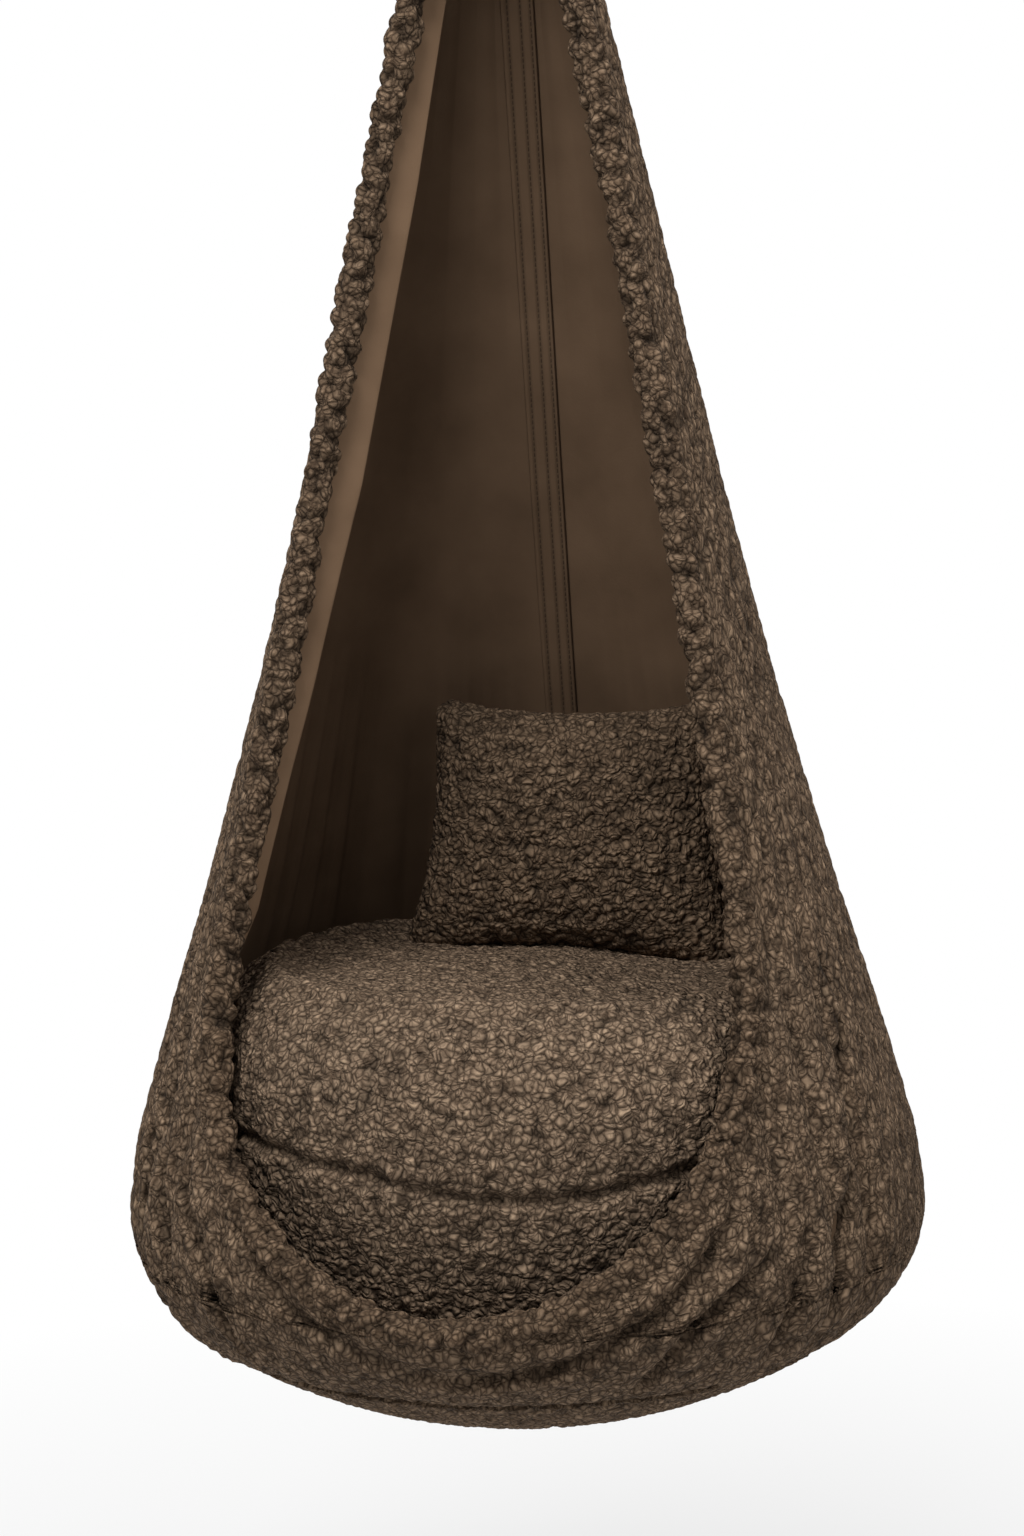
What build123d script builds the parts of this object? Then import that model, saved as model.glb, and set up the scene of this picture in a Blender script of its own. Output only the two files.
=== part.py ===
"""Hanging pod chair: a teardrop of plush fabric that hangs from a ceiling swivel.

Frame: millimetres, +Z up, the open side faces -Y, +X is to the right seen from the front.
The origin is the centre of the ceiling plate's upper face, so the whole chair is below z = 0.
"""

import os
from math import asin, cos, hypot, radians, sin, sqrt, tan

from build123d import *

# Ceiling plate and swivel
PLATE_RADIUS = 52.0
PLATE_THICKNESS = 6.0
SCREW_CIRCLE_RADIUS = 39.0
SCREW_COUNT = 4
SCREW_START_ANGLE = 45.0
SCREW_HOLE_RADIUS = 3.3
SCREW_HEAD_RADIUS = 6.5
PLATE_EDGE_ROUND = 1.5
HOUSING_RADIUS = 27.0
HOUSING_DEPTH = 32.0
HOUSING_WALL = 4.0
HOUSING_FLOOR = 6.0
HOUSING_EDGE_ROUND = 3.0
STEM_RADIUS = 7.0
STEM_CLEARANCE = 0.05
BUSH_WALL = 3.0
BUSH_FLANGE = 2.5
BUSH_FLANGE_THICKNESS = 1.5
RACE_THICKNESS = 4.0
RACE_INNER_GAP = 1.0
BALL_RADIUS = 3.0
BALL_COUNT = 10
BALL_GAP = 0.1
CAGE_THICKNESS = 1.6
CAGE_MARGIN = 2.0
NUT_ACROSS_FLATS = 24.0
NUT_HEIGHT = 7.0
EYE_COLLAR_RADIUS = 11.0
EYE_COLLAR_HEIGHT = 4.0
EYE_COLLAR_GAP = 0.3
EYE_RING_RADIUS = 18.0
EYE_WIRE_RADIUS = 5.0
SEAT_GAP = 0.05
LINK_GAP = 0.15

# Carabiner
CARABINER_WIRE_RADIUS = 4.5
CARABINER_BEND_RADIUS = 13.0
CARABINER_STRAIGHT = 56.0
GATE_RADIUS = 4.0
GATE_TONGUE_WIDTH = 3.0
GATE_TONGUE_RADIUS = 3.2
GATE_SIDE_CLEARANCE = 0.2
GATE_NOSE_GAP = 0.5
NOSE_LENGTH = 9.0
HINGE_RISE = 4.0
FORK_RISE = 6.0
GATE_FORK_CLEARANCE = 3.0
SLOT_DEPTH = 5.0
GATE_PIN_RADIUS = 1.5
GATE_PIN_CLEARANCE = 0.05

# Triangular ring and webbing loop
RING_WIRE_RADIUS = 4.0
RING_TOP_BEND = 12.0
RING_CORNER_BEND = 6.0
RING_HALF_ANGLE = 32.0
RING_DROP = 38.0
STRAP_WIDTH = 38.0
STRAP_THICKNESS = 3.0
STRAP_CLEARANCE = 0.2
STRAP_TAPER = 28.0
ANCHOR_RADIUS = 4.0
ANCHOR_OVERHANG = 3.0

# Pod
STRAP_FREE_LENGTH = 66.0
NECK_RADIUS = 35.0
NECK_GRIP = 45.0
BELLY_RADIUS = 350.0
POD_RISE = 1260.0
BOWL_DEPTH = 183.0
POD_LEAN = 13.0
PLUSH = 9.0
LINING = 2.0
LAYER_GAP = 0.3
SEAM_GAP = 0.4
FOLD_DEPTH = 11.0
POCKET_SEAM_Y = 142.0
POCKET_TOP = 235.0
HEM_RADIUS = 12.0
HEM_GAP = 0.3
LINING_SETBACK = 6.0
BACK_BAND_WIDTH = 30.0
BACK_BAND_THICKNESS = 1.5
WRAP_THICKNESS = 5.0
WRAP_HEIGHT = 32.0
PLUG_CLEARANCE = 0.3
PLUG_HEIGHT = 44.0

# Seat cushion
CUSHION_SEAM_RADIUS = 298.0
CUSHION_SEAM_HEIGHT = 90.0
CUSHION_CROWN = 210.0
CUSHION_CROWN_REACH = 225.0
CUSHION_CROWN_DROP = 17.0
CUSHION_BULGE = 10.0
CUSHION_COVER = 8.0
CUSHION_SEAM_GROOVE = 7.0

# Throw pillow
PILLOW_WIDTH = 290.0
PILLOW_HEIGHT = 250.0
PILLOW_THICKNESS = 104.0
PILLOW_SIDE_DRAW = 9.0
PILLOW_CORNER = 26.0
PILLOW_COVER = 5.0
PILLOW_LEAN = 10.0
PILLOW_SIDE_STEP = 10.0
PILLOW_REST_GAP = 0.5
PILLOW_WALL_GAP = 3.3

# Outline of the pod: shares of the rise above the belly, the swell over the neck and the fold depth
UPPER_STATIONS = (
    (0.000, 1.000, 1.0),
    (0.051, 0.971, 1.0),
    (0.108, 0.905, 0.8),
    (0.165, 0.835, 0.5),
    (0.221, 0.762, 0.25),
    (0.362, 0.600, 0.0),
    (0.500, 0.460, 0.0),
    (0.717, 0.260, 0.0),
    (0.822, 0.162, 0.0),
    (0.889, 0.092, 0.0),
    (0.937, 0.042, 0.0),
    (0.968, 0.017, 0.0),
    (1.000, 0.000, 0.0),
)
# Below the belly: share of the bowl's depth, share of the belly radius, share of the fold depth
LOWER_STATIONS = (
    (0.536, 0.826, 0.0),
    (0.377, 0.923, 0.5),
    (0.186, 0.983, 0.9),
)
BASE_RIM_SPREAD = 1.5

# Crown of each pillow half: share of the half thickness, how far the outline is drawn in per half thickness
PILLOW_STATIONS = ((0.0, 0.0), (0.3, 0.1), (0.65, 0.45), (0.9, 1.1), (1.0, 1.8))

# Angles from the front at which one panel arc meets the next, and how deep the fold is drawn in there
ARC_ANGLES = (24.0, 48.0, 57.0, 66.0, 95.0, 124.0, 152.0)
FOLD_SHARES = {48.0: 0.6, 57.0: 0.75, 66.0: 1.0}

# Rim of the opening from the lip up to the neck: share of the rise, angle from the front
RIM_STATIONS = (
    (-0.004, 14.5),
    (0.016, 23.0),
    (0.046, 31.5),
    (0.081, 39.0),
    (0.120, 44.5),
    (0.165, 49.0),
    (0.235, 52.3),
    (0.340, 55.2),
    (0.476, 58.6),
    (0.620, 60.8),
    (0.740, 61.6),
    (0.825, 59.8),
    (0.874, 52.0),
    (0.902, 44.0),
)
RIM_LIP = -0.0175
RIM_LIP_ANGLE = 7.0
RIM_TOP = 0.932
RIM_TOP_ANGLE = 31.0

# Levels that follow from the sizes above
housing_bottom = -PLATE_THICKNESS - HOUSING_DEPTH
housing_floor_top = housing_bottom + HOUSING_FLOOR
lower_race_top = housing_floor_top + BUSH_FLANGE_THICKNESS + 2 * SEAT_GAP + RACE_THICKNESS
ball_level = lower_race_top + BALL_RADIUS / 2
upper_race_bottom = ball_level + BALL_RADIUS / 2
nut_bottom = upper_race_bottom + RACE_THICKNESS + SEAT_GAP
race_inner_radius = STEM_RADIUS + RACE_INNER_GAP
race_outer_radius = HOUSING_RADIUS - HOUSING_WALL - RACE_INNER_GAP
ball_circle_radius = (race_inner_radius + race_outer_radius) / 2
eye_collar_top = housing_bottom - EYE_COLLAR_GAP - BUSH_FLANGE_THICKNESS
eye_centre = eye_collar_top - EYE_COLLAR_HEIGHT - EYE_RING_RADIUS
eye_hook = eye_centre - EYE_RING_RADIUS
carabiner_top = eye_hook + EYE_WIRE_RADIUS + LINK_GAP + CARABINER_WIRE_RADIUS
carabiner_upper_bend = carabiner_top - CARABINER_BEND_RADIUS
carabiner_lower_bend = carabiner_upper_bend - CARABINER_STRAIGHT
carabiner_bottom = carabiner_lower_bend - CARABINER_BEND_RADIUS
nose_end = carabiner_upper_bend - NOSE_LENGTH
hinge_level = carabiner_lower_bend + HINGE_RISE
fork_top = hinge_level + FORK_RISE
ring_top = carabiner_bottom + CARABINER_WIRE_RADIUS + LINK_GAP + RING_WIRE_RADIUS
ring_apex = ring_top + RING_TOP_BEND / sin(radians(RING_HALF_ANGLE)) - RING_TOP_BEND
bar_level = ring_top - RING_DROP
ring_half_width = (ring_apex - bar_level) * tan(radians(RING_HALF_ANGLE))
neck_top = bar_level - STRAP_FREE_LENGTH
belly_level = neck_top - POD_RISE
base_seam_level = belly_level - LOWER_STATIONS[0][0] * BOWL_DEPTH
base_bottom = belly_level - BOWL_DEPTH
plug_bottom = neck_top - PLUG_HEIGHT
anchor_level = plug_bottom - STRAP_TAPER - PLUG_CLEARANCE
strap_half_thickness = STRAP_THICKNESS + STRAP_CLEARANCE
lining_depth = PLUSH + LAYER_GAP + LINING
rim_depth = lining_depth / 2
pod_swell = BELLY_RADIUS - NECK_RADIUS
big = 4 * BELLY_RADIUS

os.makedirs("parts", exist_ok=True)


def pod_stations():
    """Levels of the pod from the base seam up: (z, radius, fold depth)."""
    lower = [
        (belly_level - depth * BOWL_DEPTH, share * BELLY_RADIUS, fold * FOLD_DEPTH)
        for depth, share, fold in LOWER_STATIONS
    ]
    upper = [
        (belly_level + rise * POD_RISE, NECK_RADIUS + swell * pod_swell, fold * FOLD_DEPTH)
        for rise, swell, fold in UPPER_STATIONS
    ]
    return lower + upper


def pod_radius(level):
    """Outer radius of the pod at a level, straight between stations."""
    stations = pod_stations()
    for (low, low_radius, _), (high, high_radius, _) in zip(stations, stations[1:]):
        if level <= high:
            share = (level - low) / (high - low)
            return low_radius + share * (high_radius - low_radius)
    return stations[-1][1]


def pod_centre(level):
    """Y of the pod's own axis, which leans forward so that the loaded pod hangs plumb."""
    share = (neck_top - level) / POD_RISE
    return -POD_LEAN * min(share, 1.0)


def pod_point(radius, angle, level):
    """Point at a radius and an angle from the front about the pod's own axis."""
    turn = radians(angle)
    return (radius * sin(turn), pod_centre(level) - radius * cos(turn), level)


def pod_form(depth, mode=Mode.ADD):
    """Loft of the pod's sections, drawn in by a depth from the outer surface."""
    angles = [-a for a in reversed(ARC_ANGLES)] + list(ARC_ANGLES) + [180.0]
    ends = angles[1:] + [angles[0] + 360.0]
    sections = []
    for level, radius, fold in pod_stations():
        with BuildSketch(Plane.XY.offset(level)) as section:
            with BuildLine():
                for start, end in zip(angles, ends):
                    start_radius = radius - depth - fold * FOLD_SHARES.get(abs(start), 0.0)
                    end_radius = radius - depth - fold * FOLD_SHARES.get(abs(end), 0.0)
                    ThreePointArc(
                        pod_point(start_radius, start, level)[:2],
                        pod_point(radius - depth, (start + end) / 2, level)[:2],
                        pod_point(end_radius, end, level)[:2],
                    )
            make_face()
        sections.append(section.sketch)
    loft(sections, mode=mode)


def rim_points():
    """Right half of the rim's centre line, from the lip to the neck, square to the middle at both ends."""
    lip = belly_level + RIM_LIP * POD_RISE
    top = belly_level + RIM_TOP * POD_RISE
    lip_radius = pod_radius(lip) - rim_depth
    top_radius = pod_radius(top) - rim_depth
    lip_y = pod_centre(lip) - lip_radius
    top_y = pod_centre(top) - top_radius
    points = [(SEAM_GAP / 2, lip_y, lip), (lip_radius * tan(radians(RIM_LIP_ANGLE)), lip_y, lip)]
    for rise, angle in RIM_STATIONS:
        level = belly_level + rise * POD_RISE
        points.append(pod_point(pod_radius(level) - rim_depth, angle, level))
    points.append((top_radius * tan(radians(RIM_TOP_ANGLE)), top_y, top))
    points.append((SEAM_GAP / 2, top_y, top))
    return points


def bend_radii(points):
    """Largest bend at each inner point that its two runs leave room for."""
    reach = 0.45
    radii = []
    for before, here, after in zip(points, points[1:], points[2:]):
        run_in = Vector(*here) - Vector(*before)
        run_out = Vector(*after) - Vector(*here)
        half_turn = radians(run_in.get_angle(run_out)) / 2
        radii.append(reach * min(run_in.length, run_out.length) / tan(half_turn))
    return radii


def lining_edge():
    """Side view of the lining's edge, which runs beside the hem at a steady distance on the cloth."""
    points = [Vector(*point) for point in rim_points()]
    reach = HEM_RADIUS + LINING_SETBACK
    sink = lining_depth - LINING / 2 - rim_depth
    edge = [points[0] + Vector(0, sink, -reach)]
    for before, here, after in zip(points, points[1:], points[2:]):
        outward = Vector(here.X, here.Y - pod_centre(here.Z), 0).normalized()
        away = (after - before).cross(outward).normalized()
        edge.append(here + away * reach - outward * sink)
    edge.append(points[-1] + Vector(0, sink, reach))
    return [(point.Y, point.Z) for point in edge]


def opening_cut(outline):
    """Cut everything in front of a side-view outline of the rim."""
    with BuildSketch(Plane.YZ) as side_view:
        with BuildLine():
            Polyline(*outline, (-big, outline[-1][1]), (-big, outline[0][1]), close=True)
        make_face()
    extrude(side_view.sketch, amount=big, both=True, mode=Mode.SUBTRACT)


def hem_tube(radius, mode=Mode.ADD):
    """Tube along the right half of the rim."""
    points = rim_points()
    with BuildLine() as path:
        FilletPolyline(*points, radius=bend_radii(points))
    with BuildSketch(Plane(origin=points[0], z_dir=(1, 0, 0))) as section:
        Circle(radius)
    sweep(section.sketch, path=path.wires()[0], mode=mode)


def save(piece, name):
    """Label a finished piece and write it."""
    piece.part.label = name
    export_step(piece.part, f"parts/{name}.step")


# Ceiling plate
with BuildPart() as ceiling_plate:
    with BuildSketch(Plane.XY.offset(-PLATE_THICKNESS)):
        Circle(PLATE_RADIUS)
    extrude(amount=PLATE_THICKNESS)
    fillet(ceiling_plate.edges().group_by(Axis.Z)[0], PLATE_EDGE_ROUND)
    with Locations(Plane(origin=(0, 0, -PLATE_THICKNESS), z_dir=(0, 0, -1))):
        with PolarLocations(SCREW_CIRCLE_RADIUS, SCREW_COUNT, start_angle=SCREW_START_ANGLE):
            CounterSinkHole(SCREW_HOLE_RADIUS, SCREW_HEAD_RADIUS, depth=PLATE_THICKNESS)
save(ceiling_plate, "ceiling_plate")

# Swivel housing, a cup under the plate
with BuildPart() as swivel_housing:
    with BuildSketch(Plane.XY.offset(housing_bottom)):
        Circle(HOUSING_RADIUS)
    extrude(amount=HOUSING_DEPTH)
    fillet(swivel_housing.edges().group_by(Axis.Z)[0], HOUSING_EDGE_ROUND)
    with BuildSketch(Plane.XY.offset(housing_floor_top)):
        Circle(HOUSING_RADIUS - HOUSING_WALL)
    extrude(amount=HOUSING_DEPTH - HOUSING_FLOOR, mode=Mode.SUBTRACT)
    with BuildSketch(Plane.XY.offset(housing_bottom)):
        Circle(STEM_RADIUS + STEM_CLEARANCE + BUSH_WALL)
    extrude(amount=HOUSING_FLOOR, mode=Mode.SUBTRACT)
save(swivel_housing, "swivel_housing")

# Flanged bush that the stem turns in
with BuildPart() as stem_bush:
    with BuildSketch(Plane.XY.offset(housing_bottom)):
        Circle(STEM_RADIUS + STEM_CLEARANCE + BUSH_WALL)
    extrude(amount=HOUSING_FLOOR)
    with BuildSketch(Plane.XY.offset(housing_bottom - BUSH_FLANGE_THICKNESS)):
        Circle(STEM_RADIUS + STEM_CLEARANCE + BUSH_WALL + BUSH_FLANGE)
    extrude(amount=BUSH_FLANGE_THICKNESS)
    with BuildSketch(Plane.XY.offset(housing_bottom - BUSH_FLANGE_THICKNESS)):
        Circle(STEM_RADIUS + STEM_CLEARANCE)
    extrude(amount=HOUSING_FLOOR + BUSH_FLANGE_THICKNESS, mode=Mode.SUBTRACT)
save(stem_bush, "stem_bush")


def race(bottom, groove_level):
    """Thrust race ring with its ball groove."""
    with BuildSketch(Plane.XY.offset(bottom)) as ring:
        Circle(race_outer_radius)
        Circle(race_inner_radius, mode=Mode.SUBTRACT)
    extrude(ring.sketch, amount=RACE_THICKNESS)
    with BuildSketch(Plane.XZ) as groove:
        with Locations((ball_circle_radius, groove_level)):
            Circle(BALL_RADIUS + BALL_GAP)
    revolve(groove.sketch, axis=Axis.Z, mode=Mode.SUBTRACT)


with BuildPart() as lower_race:
    race(lower_race_top - RACE_THICKNESS, ball_level)
save(lower_race, "lower_race")

# Balls held in their cage
with BuildPart() as ball_cage:
    with BuildSketch(Plane.XY.offset(ball_level - CAGE_THICKNESS / 2)):
        Circle(race_outer_radius - CAGE_MARGIN)
        Circle(race_inner_radius + CAGE_MARGIN, mode=Mode.SUBTRACT)
    extrude(amount=CAGE_THICKNESS)
    with Locations((0, 0, ball_level)):
        with PolarLocations(ball_circle_radius, BALL_COUNT):
            Sphere(BALL_RADIUS)
save(ball_cage, "ball_cage")

with BuildPart() as upper_race:
    race(upper_race_bottom, ball_level)
save(upper_race, "upper_race")

# Hexagon nut that carries the stem on the upper race
with BuildPart() as stem_nut:
    with BuildSketch(Plane.XY.offset(nut_bottom)):
        RegularPolygon(NUT_ACROSS_FLATS / 2, 6, major_radius=False)
        Circle(STEM_RADIUS + SEAT_GAP, mode=Mode.SUBTRACT)
    extrude(amount=NUT_HEIGHT)
save(stem_nut, "stem_nut")

# Stem, collar and eye in one forging
with BuildPart() as swivel_eye:
    with BuildSketch(Plane.XY.offset(eye_centre + EYE_RING_RADIUS)):
        Circle(STEM_RADIUS)
    extrude(amount=nut_bottom + NUT_HEIGHT - eye_centre - EYE_RING_RADIUS)
    with BuildSketch(Plane.XY.offset(eye_collar_top - EYE_COLLAR_HEIGHT)):
        Circle(EYE_COLLAR_RADIUS)
    extrude(amount=EYE_COLLAR_HEIGHT)
    with Locations(Location((0, 0, eye_centre), (90, 0, 0))):
        Torus(EYE_RING_RADIUS, EYE_WIRE_RADIUS)
save(swivel_eye, "swivel_eye")

# Carabiner: a bent wire, open on the +Y side for the gate
with BuildPart() as carabiner_body:
    with BuildLine(Plane.YZ) as carabiner_path:
        fork = Line(
            (CARABINER_BEND_RADIUS, fork_top),
            (CARABINER_BEND_RADIUS, carabiner_lower_bend),
        )
        lower_bend = ThreePointArc(
            fork @ 1,
            (0, carabiner_bottom),
            (-CARABINER_BEND_RADIUS, carabiner_lower_bend),
        )
        spine = Line(lower_bend @ 1, (-CARABINER_BEND_RADIUS, carabiner_upper_bend))
        upper_bend = ThreePointArc(
            spine @ 1,
            (0, carabiner_top),
            (CARABINER_BEND_RADIUS, carabiner_upper_bend),
        )
        Line(upper_bend @ 1, (CARABINER_BEND_RADIUS, nose_end))
    with BuildSketch(Plane(origin=(0, CARABINER_BEND_RADIUS, fork_top), z_dir=(0, 0, -1))):
        Circle(CARABINER_WIRE_RADIUS)
    sweep(path=carabiner_path.wires()[0])
    with BuildSketch(Plane.XY.offset(hinge_level - SLOT_DEPTH)):
        with Locations((0, CARABINER_BEND_RADIUS)):
            Rectangle(GATE_TONGUE_WIDTH + 2 * GATE_SIDE_CLEARANCE, 4 * CARABINER_WIRE_RADIUS)
    extrude(amount=SLOT_DEPTH + FORK_RISE, mode=Mode.SUBTRACT)
    with BuildSketch(Plane.YZ):
        with Locations((CARABINER_BEND_RADIUS, hinge_level)):
            Circle(GATE_PIN_RADIUS)
    extrude(amount=CARABINER_WIRE_RADIUS, both=True, mode=Mode.SUBTRACT)
save(carabiner_body, "carabiner_body")

# Gate: a round bar with a flat tongue in the fork
with BuildPart() as carabiner_gate:
    with BuildSketch(Plane.XY.offset(fork_top + GATE_FORK_CLEARANCE)):
        with Locations((0, CARABINER_BEND_RADIUS)):
            Circle(GATE_RADIUS)
    extrude(amount=nose_end - GATE_NOSE_GAP - fork_top - GATE_FORK_CLEARANCE)
    with BuildSketch(Plane.YZ):
        with Locations((CARABINER_BEND_RADIUS, hinge_level)):
            Circle(GATE_TONGUE_RADIUS)
        with Locations((CARABINER_BEND_RADIUS, hinge_level + (FORK_RISE + GATE_FORK_CLEARANCE) / 2)):
            Rectangle(2 * GATE_TONGUE_RADIUS, FORK_RISE + GATE_FORK_CLEARANCE + LINK_GAP)
        with Locations((CARABINER_BEND_RADIUS, hinge_level)):
            Circle(GATE_PIN_RADIUS + GATE_PIN_CLEARANCE, mode=Mode.SUBTRACT)
    extrude(amount=GATE_TONGUE_WIDTH / 2, both=True)
save(carabiner_gate, "carabiner_gate")

with BuildPart() as gate_pin:
    with BuildSketch(Plane.YZ):
        with Locations((CARABINER_BEND_RADIUS, hinge_level)):
            Circle(GATE_PIN_RADIUS)
    extrude(amount=CARABINER_WIRE_RADIUS - GATE_SIDE_CLEARANCE, both=True)
save(gate_pin, "gate_pin")

# Triangular ring with a straight bar for the webbing
with BuildPart() as strap_ring:
    with BuildLine(Plane.XZ) as ring_path:
        FilletPolyline(
            (ring_half_width, bar_level),
            (0, ring_apex),
            (-ring_half_width, bar_level),
            radius=[RING_CORNER_BEND, RING_TOP_BEND, RING_CORNER_BEND],
            close=True,
        )
    ring_wire = ring_path.wires()[0]
    with BuildSketch(Plane(origin=ring_wire @ 0, z_dir=ring_wire % 0)):
        Circle(RING_WIRE_RADIUS)
    sweep(path=ring_wire)
save(strap_ring, "strap_ring")

# Webbing: a loop round the ring's bar, two layers sewn flat, a loop round the anchor bar
with BuildPart() as hanging_strap:
    with BuildSketch(Plane.YZ) as strap_profile:
        loops = ((bar_level, RING_WIRE_RADIUS, 1), (anchor_level, ANCHOR_RADIUS, -1))
        for level, bar_radius, side in loops:
            pinch = level - side * STRAP_TAPER
            with BuildSketch(Plane.YZ, mode=Mode.PRIVATE) as outer_loop:
                with Locations((0, level)):
                    Circle(bar_radius + STRAP_CLEARANCE + STRAP_THICKNESS)
                with Locations((0, pinch)):
                    Rectangle(2 * strap_half_thickness, STRAP_CLEARANCE)
                make_hull()
            with BuildSketch(Plane.YZ, mode=Mode.PRIVATE) as inner_loop:
                with Locations((0, level)):
                    Circle(bar_radius + STRAP_CLEARANCE)
                with Locations((0, pinch + side * STRAP_THICKNESS)):
                    Rectangle(2 * STRAP_CLEARANCE, STRAP_CLEARANCE)
                make_hull()
            add(outer_loop.sketch_local)
            add(inner_loop.sketch_local, mode=Mode.SUBTRACT)
        tail_top = bar_level - STRAP_TAPER
        tail_bottom = anchor_level + STRAP_TAPER
        with Locations((0, (tail_top + tail_bottom) / 2)):
            Rectangle(2 * strap_half_thickness, tail_top - tail_bottom)
    extrude(amount=STRAP_WIDTH / 2, both=True)
save(hanging_strap, "hanging_strap")

# Anchor bar under the neck plug
with BuildPart() as anchor_bar:
    with BuildSketch(Plane.YZ):
        with Locations((0, anchor_level)):
            Circle(ANCHOR_RADIUS)
    extrude(amount=STRAP_WIDTH / 2 + ANCHOR_OVERHANG, both=True)
save(anchor_bar, "anchor_bar")


# Groove that the rolled hem sits in
with BuildPart() as hem_groove:
    hem_tube(HEM_RADIUS + HEM_GAP)
    mirror(about=Plane.YZ)

# Pod fabric before it is parted into panels: the plush outside and the smooth lining inside
with BuildPart() as plush_skin:
    pod_form(0.0)
    pod_form(PLUSH, mode=Mode.SUBTRACT)
    opening_cut([(point[1] + rim_depth, point[2]) for point in rim_points()[1:-1]])
    add(hem_groove.part, mode=Mode.SUBTRACT)

with BuildPart() as lining_skin:
    pod_form(PLUSH + LAYER_GAP)
    pod_form(lining_depth, mode=Mode.SUBTRACT)
    opening_cut(lining_edge())


def front_block(gap, mode):
    """Block that parts the front pocket from the side panels."""
    front = -POCKET_SEAM_Y - POD_LEAN + gap
    top = belly_level + POCKET_TOP + gap
    with Locations((0, front - big / 2, top - big / 2)):
        Box(big, big, big, mode=mode)


def side_block(side):
    """Keep what lies on one side of the middle seam."""
    with Locations((side * (SEAM_GAP / 2 + big / 2), 0, belly_level)):
        Box(big, big, 2 * big, mode=Mode.INTERSECT)


with BuildPart() as front_pocket:
    add(plush_skin.part)
    front_block(0.0, Mode.INTERSECT)
save(front_pocket, "front_pocket")

with BuildPart() as pocket_lining:
    add(lining_skin.part)
    front_block(0.0, Mode.INTERSECT)
save(pocket_lining, "pocket_lining")

for side, side_name in ((-1, "left"), (1, "right")):
    with BuildPart() as side_panel:
        add(plush_skin.part)
        front_block(SEAM_GAP, Mode.SUBTRACT)
        side_block(side)
    save(side_panel, f"{side_name}_panel")

    with BuildPart() as side_lining:
        add(lining_skin.part)
        front_block(SEAM_GAP, Mode.SUBTRACT)
        side_block(side)
    save(side_lining, f"{side_name}_lining")

# Rolled hem in two halves that meet at the lip and under the neck
with BuildPart() as right_hem:
    hem_tube(HEM_RADIUS)
save(right_hem, "right_hem")

with BuildPart() as left_hem:
    mirror(right_hem.part, about=Plane.YZ)
save(left_hem, "left_hem")

# Band sewn over the lining's centre back seam
with BuildPart() as back_band:
    pod_form(lining_depth + LAYER_GAP)
    pod_form(lining_depth + LAYER_GAP + BACK_BAND_THICKNESS, mode=Mode.SUBTRACT)
    with Locations((0, big / 2, (base_seam_level + plug_bottom) / 2)):
        Box(BACK_BAND_WIDTH, big, plug_bottom - base_seam_level - 2 * WRAP_HEIGHT, mode=Mode.INTERSECT)
save(back_band, "back_band")

# Wrap that grips the gathered neck
with BuildPart() as neck_wrap:
    pod_form(-LAYER_GAP - WRAP_THICKNESS)
    pod_form(-LAYER_GAP, mode=Mode.SUBTRACT)
    with Locations((0, 0, neck_top - NECK_GRIP / 2)):
        Box(big, big, WRAP_HEIGHT, mode=Mode.INTERSECT)
save(neck_wrap, "neck_wrap")

# Plug inside the gathered neck, with a slot for the webbing
with BuildPart() as neck_plug:
    with BuildSketch(Plane.XY.offset(plug_bottom)):
        Circle(NECK_RADIUS - lining_depth - PLUG_CLEARANCE)
        Rectangle(
            STRAP_WIDTH + 2 * STRAP_CLEARANCE,
            2 * (strap_half_thickness + STRAP_CLEARANCE),
            mode=Mode.SUBTRACT,
        )
    extrude(amount=PLUG_HEIGHT)
save(neck_plug, "neck_plug")


base_radius = LOWER_STATIONS[0][1] * BELLY_RADIUS
pod_axis = Axis((0, -POD_LEAN, 0), (0, 0, 1))
axis_plane = Plane(origin=(0, -POD_LEAN, 0), x_dir=(1, 0, 0), z_dir=(0, -1, 0))


def base_arc(inset):
    """Dished line of the base from the middle to its rim seam, moved inward by an inset."""
    rim = (base_radius - BASE_RIM_SPREAD * inset, base_seam_level - SEAM_GAP)
    return TangentArc((0, base_bottom + inset), rim, tangent=(1, 0))


def base_layer(outer, inner):
    """Dished round panel between two insets of the base line."""
    with BuildSketch(axis_plane) as half_section:
        with BuildLine():
            lower = base_arc(outer)
            upper = base_arc(inner)
            Line(lower @ 0, upper @ 0)
            Line(lower @ 1, upper @ 1)
        make_face()
    revolve(half_section.sketch, axis=pod_axis)


with BuildPart() as base_panel:
    base_layer(0.0, PLUSH)
save(base_panel, "base_panel")

with BuildPart() as base_lining:
    base_layer(PLUSH + LAYER_GAP, lining_depth)
save(base_lining, "base_lining")

# Seat cushion: a domed top and a side band that meet in a drawn-in seam, a dished underside, a foam core
seam_level = belly_level + CUSHION_SEAM_HEIGHT
crown_level = belly_level + CUSHION_CROWN
cushion_lift = lining_depth + LAYER_GAP
cushion_edge = CUSHION_SEAM_RADIUS - CUSHION_SEAM_GROOVE
cushion_foot = base_radius - BASE_RIM_SPREAD * cushion_lift
crown_arc_radius = (CUSHION_CROWN_REACH**2 + CUSHION_CROWN_DROP**2) / (2 * CUSHION_CROWN_DROP)
crown_slope = asin(CUSHION_CROWN_REACH / crown_arc_radius)
core_inset = CUSHION_COVER + LAYER_GAP


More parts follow.
